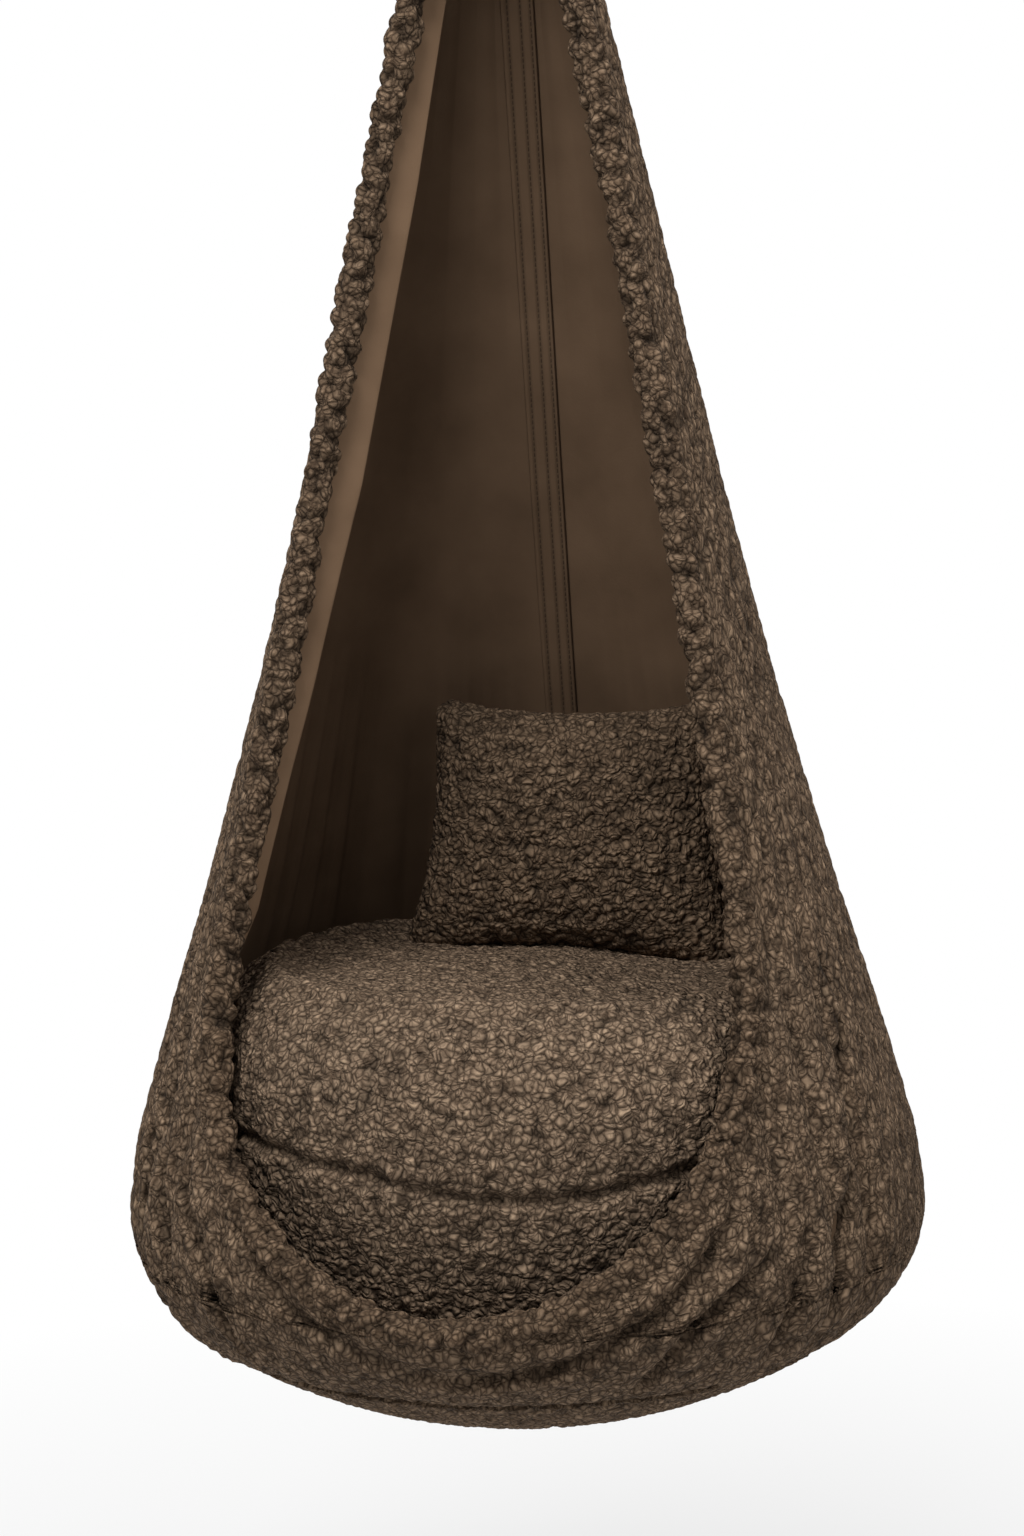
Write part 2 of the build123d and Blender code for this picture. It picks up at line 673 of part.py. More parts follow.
def cushion_top_line(inset):
    """Dome from the crown to the seam, moved inward by an inset."""
    shoulder = (
        CUSHION_CROWN_REACH - inset * sin(crown_slope),
        crown_level - CUSHION_CROWN_DROP - inset * cos(crown_slope),
    )
    crown = TangentArc((0, crown_level - inset), shoulder, tangent=(1, 0))
    edge = (cushion_edge - inset, seam_level + SEAM_GAP / 2)
    shoulder_arc = TangentArc(shoulder, edge, tangent=crown % 1)
    return crown, shoulder_arc


def cushion_side_line(inset):
    """Swelling side band from the seam to the foot, moved inward by an inset."""
    return ThreePointArc(
        (cushion_edge - inset, seam_level - SEAM_GAP / 2),
        (CUSHION_SEAM_RADIUS + CUSHION_BULGE - inset, (seam_level + base_seam_level) / 2),
        (cushion_foot - inset, base_seam_level),
    )


with BuildPart() as cushion_top:
    with BuildSketch(axis_plane):
        with BuildLine():
            outer_crown, outer_shoulder = cushion_top_line(0.0)
            inner_crown, inner_shoulder = cushion_top_line(CUSHION_COVER)
            Line(outer_crown @ 0, inner_crown @ 0)
            Line(outer_shoulder @ 1, inner_shoulder @ 1)
        make_face()
    revolve(axis=pod_axis)
save(cushion_top, "cushion_top")

with BuildPart() as cushion_side:
    with BuildSketch(axis_plane):
        with BuildLine():
            outer_side = cushion_side_line(0.0)
            inner_side = cushion_side_line(CUSHION_COVER)
            Line(outer_side @ 0, inner_side @ 0)
            Line(outer_side @ 1, inner_side @ 1)
        make_face()
    revolve(axis=pod_axis)
save(cushion_side, "cushion_side")

with BuildPart() as cushion_base:
    base_layer(cushion_lift, cushion_lift + CUSHION_COVER)
save(cushion_base, "cushion_base")

with BuildPart() as cushion_core:
    with BuildSketch(axis_plane):
        with BuildLine():
            core_crown, core_shoulder = cushion_top_line(core_inset)
            core_side = cushion_side_line(core_inset)
            core_base = base_arc(cushion_lift + core_inset)
            Line(core_shoulder @ 1, core_side @ 0)
            Line(core_side @ 1, core_base @ 1)
            Line(core_base @ 0, core_crown @ 0)
        make_face()
    revolve(axis=pod_axis)
save(cushion_core, "cushion_core")

# Throw pillow: two crowned halves with drawn-in sides round a soft core, leaning on the back of the pod
pillow_lean = radians(PILLOW_LEAN)
pillow_top = crown_level - CUSHION_CROWN_DROP + PILLOW_HEIGHT * cos(pillow_lean)
pillow_corner_reach = PILLOW_WIDTH / 2 + PILLOW_SIDE_STEP
pillow_wall = sqrt((pod_radius(pillow_top) - lining_depth) ** 2 - pillow_corner_reach**2)
pillow_top_y = pod_centre(pillow_top) + pillow_wall - PILLOW_WALL_GAP
pillow_foot_y = pillow_top_y - PILLOW_HEIGHT * sin(pillow_lean)
pillow_foot_reach = hypot(PILLOW_WIDTH / 2 - PILLOW_CORNER - PILLOW_SIDE_STEP, pillow_foot_y + POD_LEAN)
pillow_foot_sag = crown_arc_radius - sqrt(crown_arc_radius**2 - pillow_foot_reach**2)
pillow_foot = crown_level - pillow_foot_sag + PILLOW_REST_GAP
pillow_plane = Plane(
    origin=(
        PILLOW_SIDE_STEP,
        pillow_foot_y + PILLOW_HEIGHT / 2 * sin(pillow_lean),
        pillow_foot + PILLOW_HEIGHT / 2 * cos(pillow_lean),
    ),
    x_dir=(1, 0, 0),
    z_dir=(0, -cos(pillow_lean), sin(pillow_lean)),
)


def pillow_outline(draw_in):
    """Soft square with drawn-in sides and round corners, smaller all round by a draw-in."""
    half_width = PILLOW_WIDTH / 2 - draw_in
    half_height = PILLOW_HEIGHT / 2 - draw_in
    share = 2 * half_height / PILLOW_HEIGHT
    corner = PILLOW_CORNER * share
    draw = PILLOW_SIDE_DRAW * share
    tuck = corner * (1 - sqrt(0.5))
    for across, up in ((1, 1), (-1, 1), (-1, -1), (1, -1)):
        ThreePointArc(
            (across * half_width, up * (half_height - corner)),
            (across * (half_width - tuck), up * (half_height - tuck)),
            (across * (half_width - corner), up * half_height),
        )
    for side in (1, -1):
        ThreePointArc(
            (half_width - corner, side * half_height),
            (0, side * (half_height - draw)),
            (corner - half_width, side * half_height),
        )
        ThreePointArc(
            (side * half_width, half_height - corner),
            (side * (half_width - draw), 0),
            (side * half_width, corner - half_height),
        )


def pillow_half(side, gap, inset, mode=Mode.ADD):
    """Crowned half on one side of the seam, moved inward by an inset."""
    sections = []
    for depth, draw_in in PILLOW_STATIONS:
        level = side * (gap + depth * (PILLOW_THICKNESS / 2 - inset))
        with BuildSketch(pillow_plane.offset(level)) as section:
            with BuildLine():
                pillow_outline(draw_in * PILLOW_THICKNESS / 2 + inset)
            make_face()
        sections.append(section.sketch)
    loft(sections, mode=mode)


for side, side_name in ((1, "front"), (-1, "back")):
    with BuildPart() as pillow_cover:
        pillow_half(side, SEAM_GAP / 2, 0.0)
        pillow_half(side, SEAM_GAP / 2, PILLOW_COVER, mode=Mode.SUBTRACT)
    save(pillow_cover, f"pillow_{side_name}")

with BuildPart() as pillow_core:
    pillow_half(1, 0.0, PILLOW_COVER + LAYER_GAP)
    pillow_half(-1, 0.0, PILLOW_COVER + LAYER_GAP)
save(pillow_core, "pillow_core")
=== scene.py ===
# %% [markdown]
# # A plush hanging chair, dressed step by step
#
# The chair is a teardrop bag of curly plush that hangs from a ceiling swivel. Its hard
# pieces, the swivel, the carabiner and the ring, come from the CAD frame as they are. Its soft
# pieces are made here, because cloth, curls and stuffing are what a mesh does best. We load the
# frame first and read the levels of the soft pieces from its boxes.

import bpy
import numpy as np
from mathutils import Matrix, Vector


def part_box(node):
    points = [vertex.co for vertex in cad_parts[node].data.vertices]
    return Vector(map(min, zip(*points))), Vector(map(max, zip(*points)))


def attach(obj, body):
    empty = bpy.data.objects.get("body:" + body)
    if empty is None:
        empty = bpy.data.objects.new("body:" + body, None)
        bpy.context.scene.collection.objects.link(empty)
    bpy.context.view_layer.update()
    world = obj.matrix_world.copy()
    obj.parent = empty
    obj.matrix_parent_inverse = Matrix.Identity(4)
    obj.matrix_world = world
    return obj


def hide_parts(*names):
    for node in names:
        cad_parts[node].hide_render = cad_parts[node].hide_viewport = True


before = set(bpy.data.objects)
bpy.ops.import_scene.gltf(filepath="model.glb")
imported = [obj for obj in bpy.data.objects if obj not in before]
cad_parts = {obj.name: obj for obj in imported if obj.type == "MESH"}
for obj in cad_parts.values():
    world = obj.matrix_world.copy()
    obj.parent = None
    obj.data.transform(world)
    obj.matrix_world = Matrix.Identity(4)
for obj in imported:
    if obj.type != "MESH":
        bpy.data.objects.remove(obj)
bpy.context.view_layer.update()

print("frame nodes:", len(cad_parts))

# %% [markdown]
# ## Levels
#
# Every soft piece is placed from a few levels of the frame: the top of the neck, the seam of
# the base, the widest line of the belly. Reading them from the frame's own boxes is safer than
# typing them again, because the cloth then follows the frame if it ever moves.

# %% Levels read from the frame
MM = 0.001
POD_RISE = 1260 * MM
neck_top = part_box("left_panel")[1].z
base_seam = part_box("left_panel")[0].z
base_low, base_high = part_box("base_panel")
base_bottom = base_low.z
belly_level = neck_top - POD_RISE
BELLY_RADIUS = 350 * MM
NECK_RADIUS = 35 * MM
POD_LEAN = -(base_low.y + base_high.y) / 2
print("neck", neck_top, "belly", belly_level, "base seam", base_seam)

# %% [markdown]
# ## The outline of the pod
#
# Seen from the front the pod is a long teardrop: a thin neck, straight shoulders and a full
# belly that turns under to the base. One way is to draw a Bezier curve by eye. Here the outline
# is a short list of shares, height against radius, that both the skin and the lining read, so
# the two layers can never cross. The shares are averaged over a small window of heights, which
# rounds the corners between them as stretched cloth does.

# %% The teardrop outline
RISE_SHARES = np.array([-0.145, -0.0778, -0.0547, -0.027, 0, 0.051, 0.108, 0.165, 0.221, 0.362,
                        0.5, 0.717, 0.822, 0.889, 0.937, 0.968, 1.0])
SWELL_SHARES = np.array([0.25, 0.807, 0.914, 0.981, 1, 0.971, 0.905, 0.835, 0.762, 0.6,
                         0.46, 0.26, 0.162, 0.092, 0.042, 0.017, 0])
OUTLINE_WINDOW = np.linspace(-14, 14, 7) * MM


def pod_radius(z):
    """Outer radius at height z: the shares' straight runs, averaged over seven nearby heights."""
    share = (z[..., None] + OUTLINE_WINDOW - belly_level) / POD_RISE
    swell = np.interp(share, RISE_SHARES, SWELL_SHARES).mean(-1)
    return NECK_RADIUS + swell * (BELLY_RADIUS - NECK_RADIUS)


def pod_centre(z):
    """How far the pod's centre line has moved forward (-y) at height z: it leans as it hangs."""
    return -POD_LEAN * np.clip((neck_top - z) / POD_RISE, 0, 1)


def pod_point(radius, angle, z):
    """A point at that radius and height; angle 0 is the front, and a positive one turns right."""
    return np.stack([radius * np.sin(angle), pod_centre(z) - radius * np.cos(angle), z], -1)


print("radius at half height:", float(pod_radius(np.array(belly_level + POD_RISE / 2))))

# %% [markdown]
# ## The edge of the opening
#
# The opening is one long curve: a low lip at the front, a quick rise at each side of the seat,
# then two nearly straight edges that lean back and meet in an arch near the neck. Its edge is
# given as angle against height, for one half. The other half is its mirror image. The skin
# stops on this curve, the lining stops just inside it, and the rolled hem is carried along it.

# %% The opening's edge
RIM_RISES = np.array([-0.0175, -0.0165, -0.012, -0.004, 0.016, 0.046, 0.081, 0.12, 0.165, 0.235,
                      0.34, 0.476, 0.62, 0.74, 0.825, 0.874, 0.902, 0.92, 0.93, 0.932])
RIM_ANGLES = np.radians([0, 5, 9.5, 14.5, 23, 31.5, 39, 44.5, 49, 52.3,
                         55.2, 58.6, 60.8, 61.6, 59.8, 52, 44, 31, 13, 0])
RIM_DEPTH = 5.65 * MM
RIM_STEPS = 720
RIM_WINDOW = 35 * MM


def rim_angle(z):
    """Angle of the opening's edge at height z, and 0 below the lip and above the arch."""
    share = (z - belly_level) / POD_RISE
    return np.interp(share, RIM_RISES, RIM_ANGLES, left=0, right=0)


def rim_path(depth):
    """The edge as evenly spaced points, lip to arch: the listed stations joined, mirrored at both
    ends so that the halves meet square, and averaged twice over the window to round corners."""
    z = belly_level + RIM_RISES * POD_RISE
    corners = pod_point(pod_radius(z) - depth, RIM_ANGLES, z)
    run = np.concatenate([[0], np.cumsum(np.linalg.norm(np.diff(corners, axis=0), axis=1))])
    even = np.linspace(0, run[-1], RIM_STEPS)
    points = np.stack([np.interp(even, run, corners[:, k]) for k in range(3)], 1)
    half = max(int(RIM_WINDOW / 2 / (run[-1] / RIM_STEPS)), 1)
    mirror = np.array([-1, 1, 1])
    for _ in range(2):
        before = points[half:0:-1] * mirror
        after = points[-2:-half - 2:-1] * mirror
        padded = np.concatenate([before, points, after])
        total = np.cumsum(np.concatenate([np.zeros((1, 3)), padded]), axis=0)
        points = (total[2 * half + 1:] - total[:-2 * half - 1]) / (2 * half + 1)
    return points


rim = rim_path(RIM_DEPTH)
print("half rim:", round(float(np.linalg.norm(np.diff(rim, axis=0), axis=1).sum()), 3), "m")

# %% [markdown]
# ## Curls of plush
#
# The plush is a curly pile: little tufts of about 9 mm that lie against each other with dark
# gaps between. Hair strands would look right but export badly, and a bump map alone leaves the
# edge of the chair as smooth as paper. So the tufts are real relief. Each point of the cloth
# looks for the nearest of many scattered tuft centres, which is the idea of cellular noise, and
# rises in a little dome around it. The height is also kept on the mesh, because the material
# takes most of its shade from it.

# %% Tufts as cellular noise
CELL_OFFSETS = np.stack(np.meshgrid(*[np.arange(-1, 2)] * 3, indexing="ij"), -1).reshape(-1, 3)
SCATTER = np.array([[127.1, 311.7, 74.7], [269.5, 183.3, 246.1], [113.5, 271.9, 124.6]])
SCATTER_GAIN = 43758.5453
SEED_STEP = 17.17
BEND_SHARE = 0.45
BEND_PACE = 0.9
TUFT_REACH = 0.75
TUFT_REST = 0.6
FAR = 9.0


def scattered(cells, seed):
    """Three fractions from 0 to 1 for each whole-number cell: the tail of a large sine."""
    wave = np.sin(cells @ SCATTER.T + seed * SEED_STEP) * SCATTER_GAIN
    return wave - np.floor(wave)


def tufts(points, size, seed=0.0):
    """Tuft height from 0 in the gaps to 1 on the crests: one less the square of the distance to
    the nearest scattered centre, over a tuft's reach. Slow waves bend the space first, so no
    rows show."""
    bent = points + BEND_SHARE * size * np.sin(points[:, [1, 2, 0]] / size * BEND_PACE + seed)
    bent = bent / size
    home = np.floor(bent)
    nearest = np.full(len(points), FAR)
    for offset in CELL_OFFSETS:
        cell = home + offset
        away = cell + scattered(cell, seed) - bent
        nearest = np.minimum(nearest, (away * away).sum(1))
    return np.clip(1 - nearest / TUFT_REACH, 0, 1)


def tuft_lift(height, rise):
    """How far tufts lift a point: its height over that of a resting one, times the rise."""
    return (height - TUFT_REST) * rise


print("tuft neighbourhood:", len(CELL_OFFSETS), "cells")

# %% [markdown]
# ## From a grid of points to a mesh
#
# Almost every soft piece is a grid: rows and columns of points from a formula. These helpers
# turn a grid into faces and into an object that rides on the right body. Quads in whole arrays
# are quick to make, and smooth shading hides the facets.

# %% Grid helpers


def grid_faces(rows, cols, closed=False, looped=False):
    """Quads between neighbouring rows and columns; closed joins the last column to the first, and
    looped the last row."""
    index = np.arange(rows * cols).reshape(rows, cols)
    index = np.concatenate([index, index[:, :1]], 1) if closed else index
    index = np.concatenate([index, index[:1]], 0) if looped else index
    corners = [index[:-1, :-1], index[:-1, 1:], index[1:, 1:], index[1:, :-1]]
    return np.stack(corners, -1).reshape(-1, 4)


def grid_normals(grid):
    """Unit normals of a grid of points: the cross product of its two running differences."""
    across = np.gradient(grid, axis=1)
    along = np.gradient(grid, axis=0)
    normal = np.cross(across, along)
    return normal / np.maximum(np.linalg.norm(normal, axis=-1, keepdims=True), 1e-12)


def used_only(points, faces, *extras):
    """Drops the points that no face uses and renumbers the faces."""
    keep, renumbered = np.unique(faces, return_inverse=True)
    kept = [extra[keep] for extra in extras]
    return [points[keep], renumbered.reshape(faces.shape)] + kept


def make_piece(name, points, faces, finish, body, marks=None):
    """A smooth-shaded object of those points and faces, riding on a body, with named values
    kept on its points for the material to read."""
    mesh = bpy.data.meshes.new(name)
    mesh.from_pydata(points.tolist(), [], faces if isinstance(faces, list) else faces.tolist())
    mesh.polygons.foreach_set("use_smooth", np.ones(len(mesh.polygons), bool))
    for mark, values in (marks or {}).items():
        layer = mesh.attributes.new(mark, "FLOAT", "POINT")
        layer.data.foreach_set("value", np.asarray(values, np.float32))
    mesh.update()
    mesh.materials.append(finish)
    piece = bpy.data.objects.new(name, mesh)
    bpy.context.scene.collection.objects.link(piece)
    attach(piece, body)
    print(name, len(mesh.polygons), "faces")
    return piece


print("a grid of 3 rows and 4 columns has", len(grid_faces(3, 4)), "faces")

# %% [markdown]
# ## Finishes: plush
#
# The plush is one brown yarn, pale at the tips of the curls and dark where no light reaches.
# The tufts on the mesh are as fine as its faces allow, and their height gives most of the shade.
# The smaller curls, about 6.5 mm across, are drawn by the material. A cellular texture alone
# looks like pebbles, and a noise alone looks like bark. Together they look like pile: the cells
# are the round curls, and folds of a noise part them into wavy locks. On the skin the pile hangs,
# so its locks are stretched downwards; on the cushions, which are brushed every way, they are
# not. A few small helpers come first, so that each finish is a short list of steps.

# %% Helpers that make nodes


def tint(red, green, blue):
    """A colour as it looks on screen, 0 to 255, changed to the linear values shaders use."""
    share = np.array([red, green, blue]) / 255
    linear = np.where(share <= 0.04045, share / 12.92, ((share + 0.055) / 1.055) ** 2.4)
    return (*linear.tolist(), 1.0)


def new_finish(name, roughness, sheen=0.0, metallic=0.0):
    """An empty Principled material: its nodes, a function that links two sockets, its shader."""
    finish = bpy.data.materials.new(name)
    finish.use_nodes = True
    nodes = finish.node_tree.nodes
    shader = nodes["Principled BSDF"]
    shader.inputs["Roughness"].default_value = roughness
    shader.inputs["Metallic"].default_value = metallic
    shader.inputs["Sheen Weight"].default_value = sheen
    return finish, nodes, finish.node_tree.links.new, shader


def node(nodes, kind, **values):
    """A new node of that kind; each value goes to the input or the setting of that name."""
    made = nodes.new(kind)
    for key, value in values.items():
        if key in made.inputs:
            made.inputs[key].default_value = value
        else:
            setattr(made, key, value)
    return made


def ramp(nodes, stops):
    """A colour ramp with (place, colour) stops."""
    made = nodes.new("ShaderNodeValToRGB")
    made.color_ramp.elements[0].position, made.color_ramp.elements[0].color = stops[0]
    made.color_ramp.elements[1].position, made.color_ramp.elements[1].color = stops[-1]
    for place, colour in stops[1:-1]:
        made.color_ramp.elements.new(place).color = colour
    return made


def object_place(nodes):
    """The place of a point in the object's own coordinates, as an output."""
    return node(nodes, "ShaderNodeTexCoord").outputs["Object"]


def mark_on(nodes, name):
    """A value that the mesh keeps on its points, as an output."""
    return node(nodes, "ShaderNodeAttribute", attribute_name=name).outputs["Fac"]


print("mid grey in linear values:", round(tint(128, 128, 128)[0], 3))

# %% Helpers that work on values


def spread(nodes, link, value, low, high, start=0.0, end=1.0):
    """A value from start to end spread over the range from low to high."""
    made = nodes.new("ShaderNodeMapRange")
    for key, number in (("From Min", start), ("From Max", end), ("To Min", low), ("To Max", high)):
        made.inputs[key].default_value = number
    link(value, made.inputs["Value"])
    return made.outputs["Result"]


def worked(nodes, link, operation, *terms):
    """One Math node; each term is a number or the output of another node."""
    made = node(nodes, "ShaderNodeMath", operation=operation)
    for socket, term in zip(made.inputs, terms):
        if isinstance(term, (int, float)):
            socket.default_value = term
        else:
            link(term, socket)
    return made.outputs[0]


def noise_at(nodes, link, where, scale, detail):
    """A noise read at those coordinates, from 0 to 1 about a half; its node."""
    made = node(nodes, "ShaderNodeTexNoise", Scale=scale, Detail=detail)
    link(where, made.inputs["Vector"])
    return made


def cells_at(nodes, link, where, scale, feature):
    """A cellular texture read at those coordinates; its node."""
    made = node(nodes, "ShaderNodeTexVoronoi", feature=feature, Scale=scale)
    link(where, made.inputs["Vector"])
    return made


def shaded(nodes, link, colour, level, shader):
    """The colour multiplied by a level, into the shader's base colour."""
    made = node(nodes, "ShaderNodeVectorMath", operation="SCALE")
    link(colour, made.inputs[0])
    link(level, made.inputs["Scale"])
    link(made.outputs["Vector"], shader.inputs["Base Color"])


def raised(nodes, link, height, strength, distance, shader):
    """A height as bump, into the shader's normal."""
    made = node(nodes, "ShaderNodeBump", Strength=strength, Distance=distance)
    link(height, made.inputs["Height"])
    link(made.outputs["Normal"], shader.inputs["Normal"])


print("value helpers ready")

# %% The plush finish
PILE_BEND = 1.7
CELL_SHADES = (0.88, 1.12)
STROKE_SHADES = (0.84, 1.16)
STROKE_SCALE = 11.0
PAINTED_SHADE_LEVELS = (1.0, 0.4)


def bent_pile(nodes, link, where, curl, lie):
    """Coordinates for the pile: the height times lie, plus a slow noise two curls wide, which
    pushes the cells about so that none keeps a straight edge."""
    laid = node(nodes, "ShaderNodeMapping", Scale=(1.0, 1.0, lie))
    link(where, laid.inputs["Vector"])
    centred = node(nodes, "ShaderNodeVectorMath", operation="SUBTRACT")
    centred.inputs[1].default_value = (0.5, 0.5, 0.5)
    link(noise_at(nodes, link, where, 0.5 / curl, 1.0).outputs["Color"], centred.inputs[0])
    pushed = node(nodes, "ShaderNodeVectorMath", operation="SCALE", Scale=PILE_BEND * curl)
    link(centred.outputs[0], pushed.inputs[0])
    moved = node(nodes, "ShaderNodeVectorMath", operation="ADD")
    link(laid.outputs[0], moved.inputs[0])
    link(pushed.outputs[0], moved.inputs[1])
    return moved.outputs[0]


def plush_finish(name, gap, body, tip, curl, tuft_shades, lie=1.0, lock=0.5):
    """Plush: cells of the curl's size make round domes, whose height falls with the square of the
    distance from the middle. Thin folds, where a noise passes its middle value, part the pile
    into short wavy locks, which are longer along z where lie is under 1. Both kinds of gap are
    dark, more in some patches than in others. The tufts' height gives most of the shade, cells
    and strokes a little, and painted shade darkens the pile where the mesh marks creases and seams."""
    finish, nodes, link, shader = new_finish(name, 0.95)
    shader.inputs["Specular IOR Level"].default_value = 0.12
    where = object_place(nodes)
    bent = bent_pile(nodes, link, where, curl, lie)
    edge = cells_at(nodes, link, bent, 1 / curl, "DISTANCE_TO_EDGE").outputs["Distance"]
    each = cells_at(nodes, link, bent, 1 / curl, "F1")
    fibre = noise_at(nodes, link, where, 5.0 / curl, 2.0).outputs["Fac"]
    patch = noise_at(nodes, link, where, 0.4 / curl, 0.0).outputs["Fac"]
    folds = noise_at(nodes, link, bent, 1.0 / curl, 0.6).outputs["Fac"]
    crease = worked(nodes, link, "ABSOLUTE", worked(nodes, link, "SUBTRACT", folds, 0.5))
    width = spread(nodes, link, patch, 0.4, 0.55, 0.35, 0.65)
    by_edge = worked(nodes, link, "DIVIDE", worked(nodes, link, "MULTIPLY_ADD", fibre, 0.12, edge),
                     width)
    by_fold = worked(nodes, link, "MULTIPLY_ADD", crease, 6.0,
                     spread(nodes, link, patch, 0.7 - lock, 0.8 - lock, 0.65, 0.35))
    shades = ramp(nodes, [(0.05, gap), (0.55, body), (1.0, tip)])
    link(worked(nodes, link, "MINIMUM", by_edge, by_fold), shades.inputs["Fac"])
    stroke = noise_at(nodes, link, where, STROKE_SCALE, 3.0).outputs["Fac"]
    level = worked(nodes, link, "MULTIPLY",
                   spread(nodes, link, each.outputs["Color"], *CELL_SHADES),
                   spread(nodes, link, stroke, *STROKE_SHADES))
    # The second mark is painted shade: it darkens the pile in creases, at seams and under the
    # cushion's seam.
    for mark, marked_shades in (("tuft", tuft_shades), ("painted_shade", PAINTED_SHADE_LEVELS)):
        level = worked(nodes, link, "MULTIPLY", level,
                       spread(nodes, link, mark_on(nodes, mark), *marked_shades))
    shaded(nodes, link, shades.outputs["Color"], level, shader)
    away = worked(nodes, link, "POWER", each.outputs["Distance"], 2.0)
    ridge = worked(nodes, link, "POWER", spread(nodes, link, crease, 0.0, 1.0, 0.0, 0.22), 0.6)
    rise = worked(nodes, link, "MULTIPLY_ADD", ridge, lock,
                  worked(nodes, link, "MULTIPLY", away, -0.95))
    rise = worked(nodes, link, "MULTIPLY_ADD", fibre, 0.07, rise)
    raised(nodes, link, rise, 1.0, curl, shader)
    return finish


print("plush finish ready")

# %% One plush for each kind of piece
HANGING_CURL = 6.6 * MM
BRUSHED_CURL = 6.4 * MM
# Painted light and shade: the yarn is the same on every piece, but the seat's plush is painted
# paler, as painted light, and the hem's and the pillow's darker, as painted shade.
brown_plush = plush_finish("brown_plush", tint(64, 50, 38), tint(124, 103, 83),
                           tint(146, 123, 100), HANGING_CURL, (0.42, 1.1), lie=0.6, lock=0.4)
pocket_plush = plush_finish("pocket_plush", tint(62, 48, 36), tint(126, 105, 85),
                            tint(150, 127, 104), BRUSHED_CURL, (0.38, 1.1), lie=0.85, lock=0.34)
seat_plush = plush_finish("seat_plush", tint(66, 52, 40), tint(136, 115, 95),
                          tint(160, 137, 113), BRUSHED_CURL, (0.42, 1.1), lock=0.32)
hem_plush = plush_finish("hem_plush", tint(54, 41, 30), tint(108, 89, 71),
                         tint(130, 109, 89), BRUSHED_CURL, (0.34, 1.12), lock=0.22)
pillow_plush = plush_finish("pillow_plush", tint(54, 42, 31), tint(116, 96, 77),
                            tint(136, 115, 94), BRUSHED_CURL, (0.42, 1.1), lock=0.32)
print("plush for skin, pocket, seat, hem and pillow")

# %% [markdown]
# ## Finishes: lining
#
# Inside, the pod is lined with a flat brushed cloth, darker than the plush and almost without
# shine. Two noises are enough: a very fine one for the nap, and a broad one for the marks left
# where the nap has been brushed one way or the other.

# %% The lining finish
BRUSH_SCALE = 14.0
NAP_SCALE = 520.0
NAP_RISE = 0.6 * MM
PAINTED_LIGHT_LEVELS = (1.0, 1.55)
THREAD_AND_SHADE_LEVELS = (1.0, 0.25)


def lining_finish(name, dark, light):
    """Brushed cloth: a broad noise between two browns, with the nap as a fine bump. It is painted
    paler where the mesh marks the lip behind the hem, as painted light, and darker where it is
    marked as stitch: the thread, and painted shade in the band's grooves and along its edge."""
    finish, nodes, link, shader = new_finish(name, 0.9)
    shader.inputs["Specular IOR Level"].default_value = 0.15
    where = object_place(nodes)
    brush = noise_at(nodes, link, where, BRUSH_SCALE, 5.0)
    shades = ramp(nodes, [(0.3, dark), (0.72, light)])
    link(brush.outputs["Fac"], shades.inputs["Fac"])
    level = worked(nodes, link, "MULTIPLY",
                   spread(nodes, link, mark_on(nodes, "painted_lip_light"), *PAINTED_LIGHT_LEVELS),
                   spread(nodes, link, mark_on(nodes, "stitch"), *THREAD_AND_SHADE_LEVELS))
    shaded(nodes, link, shades.outputs["Color"], level, shader)
    nap = noise_at(nodes, link, where, NAP_SCALE, 3.0)
    raised(nodes, link, nap.outputs["Fac"], 0.35, NAP_RISE, shader)
    return finish


brown_lining = lining_finish("brown_lining", tint(90, 71, 54), tint(106, 85, 66))
print("lining finish ready")

# %% [markdown]
# ## The outer skin
#
# On the real chair the skin is cut in panels: two long side panels that meet at the centre
# back, and a pocket that closes the front under the lip. They could be three separate grids,
# but then their curls would not meet at the seams. So each half of the skin is one grid of
# height by angle, from the edge of the opening round to the back, and its faces are then dealt
# out to the panels. Pleats at the sides of the pocket, swags under the lip and gathers at the
# neck are added to the radius as smooth dents before the tufts go on.

# %% Dents of the skin
# Each pleat's angle in degrees, and its share of the depth.
PLEATS = {48: 0.6, 57: 0.75, 66: 1.0}
PLEAT_DEPTH = 13 * MM
PLEAT_WIDTH = np.radians(1.9)
PLEAT_RISES = RISE_SHARES[1:10]
PLEAT_SHARES = np.array([0, 0.5, 0.9, 1, 1, 0.8, 0.5, 0.25, 0])
GATHERS = 18
GATHER_DEPTH = 3.2 * MM
GATHER_START = 0.86


def dents(angle, z):
    """How far the skin sinks: narrow vertical bells at the pleats, and waves round the neck that
    fade out below it."""
    share = (z - belly_level) / POD_RISE
    upright = np.interp(share, PLEAT_RISES, PLEAT_SHARES)
    sunk = sum(part * np.exp(-((angle - np.radians(at)) / PLEAT_WIDTH) ** 2)
               for at, part in PLEATS.items()) * upright * PLEAT_DEPTH
    fade = np.clip((share - GATHER_START) / (1 - GATHER_START), 0, 1) ** 2
    return sunk + fade * GATHER_DEPTH * (0.5 + 0.5 * np.cos(GATHERS * angle))


print("pleats at", list(PLEATS), "degrees")

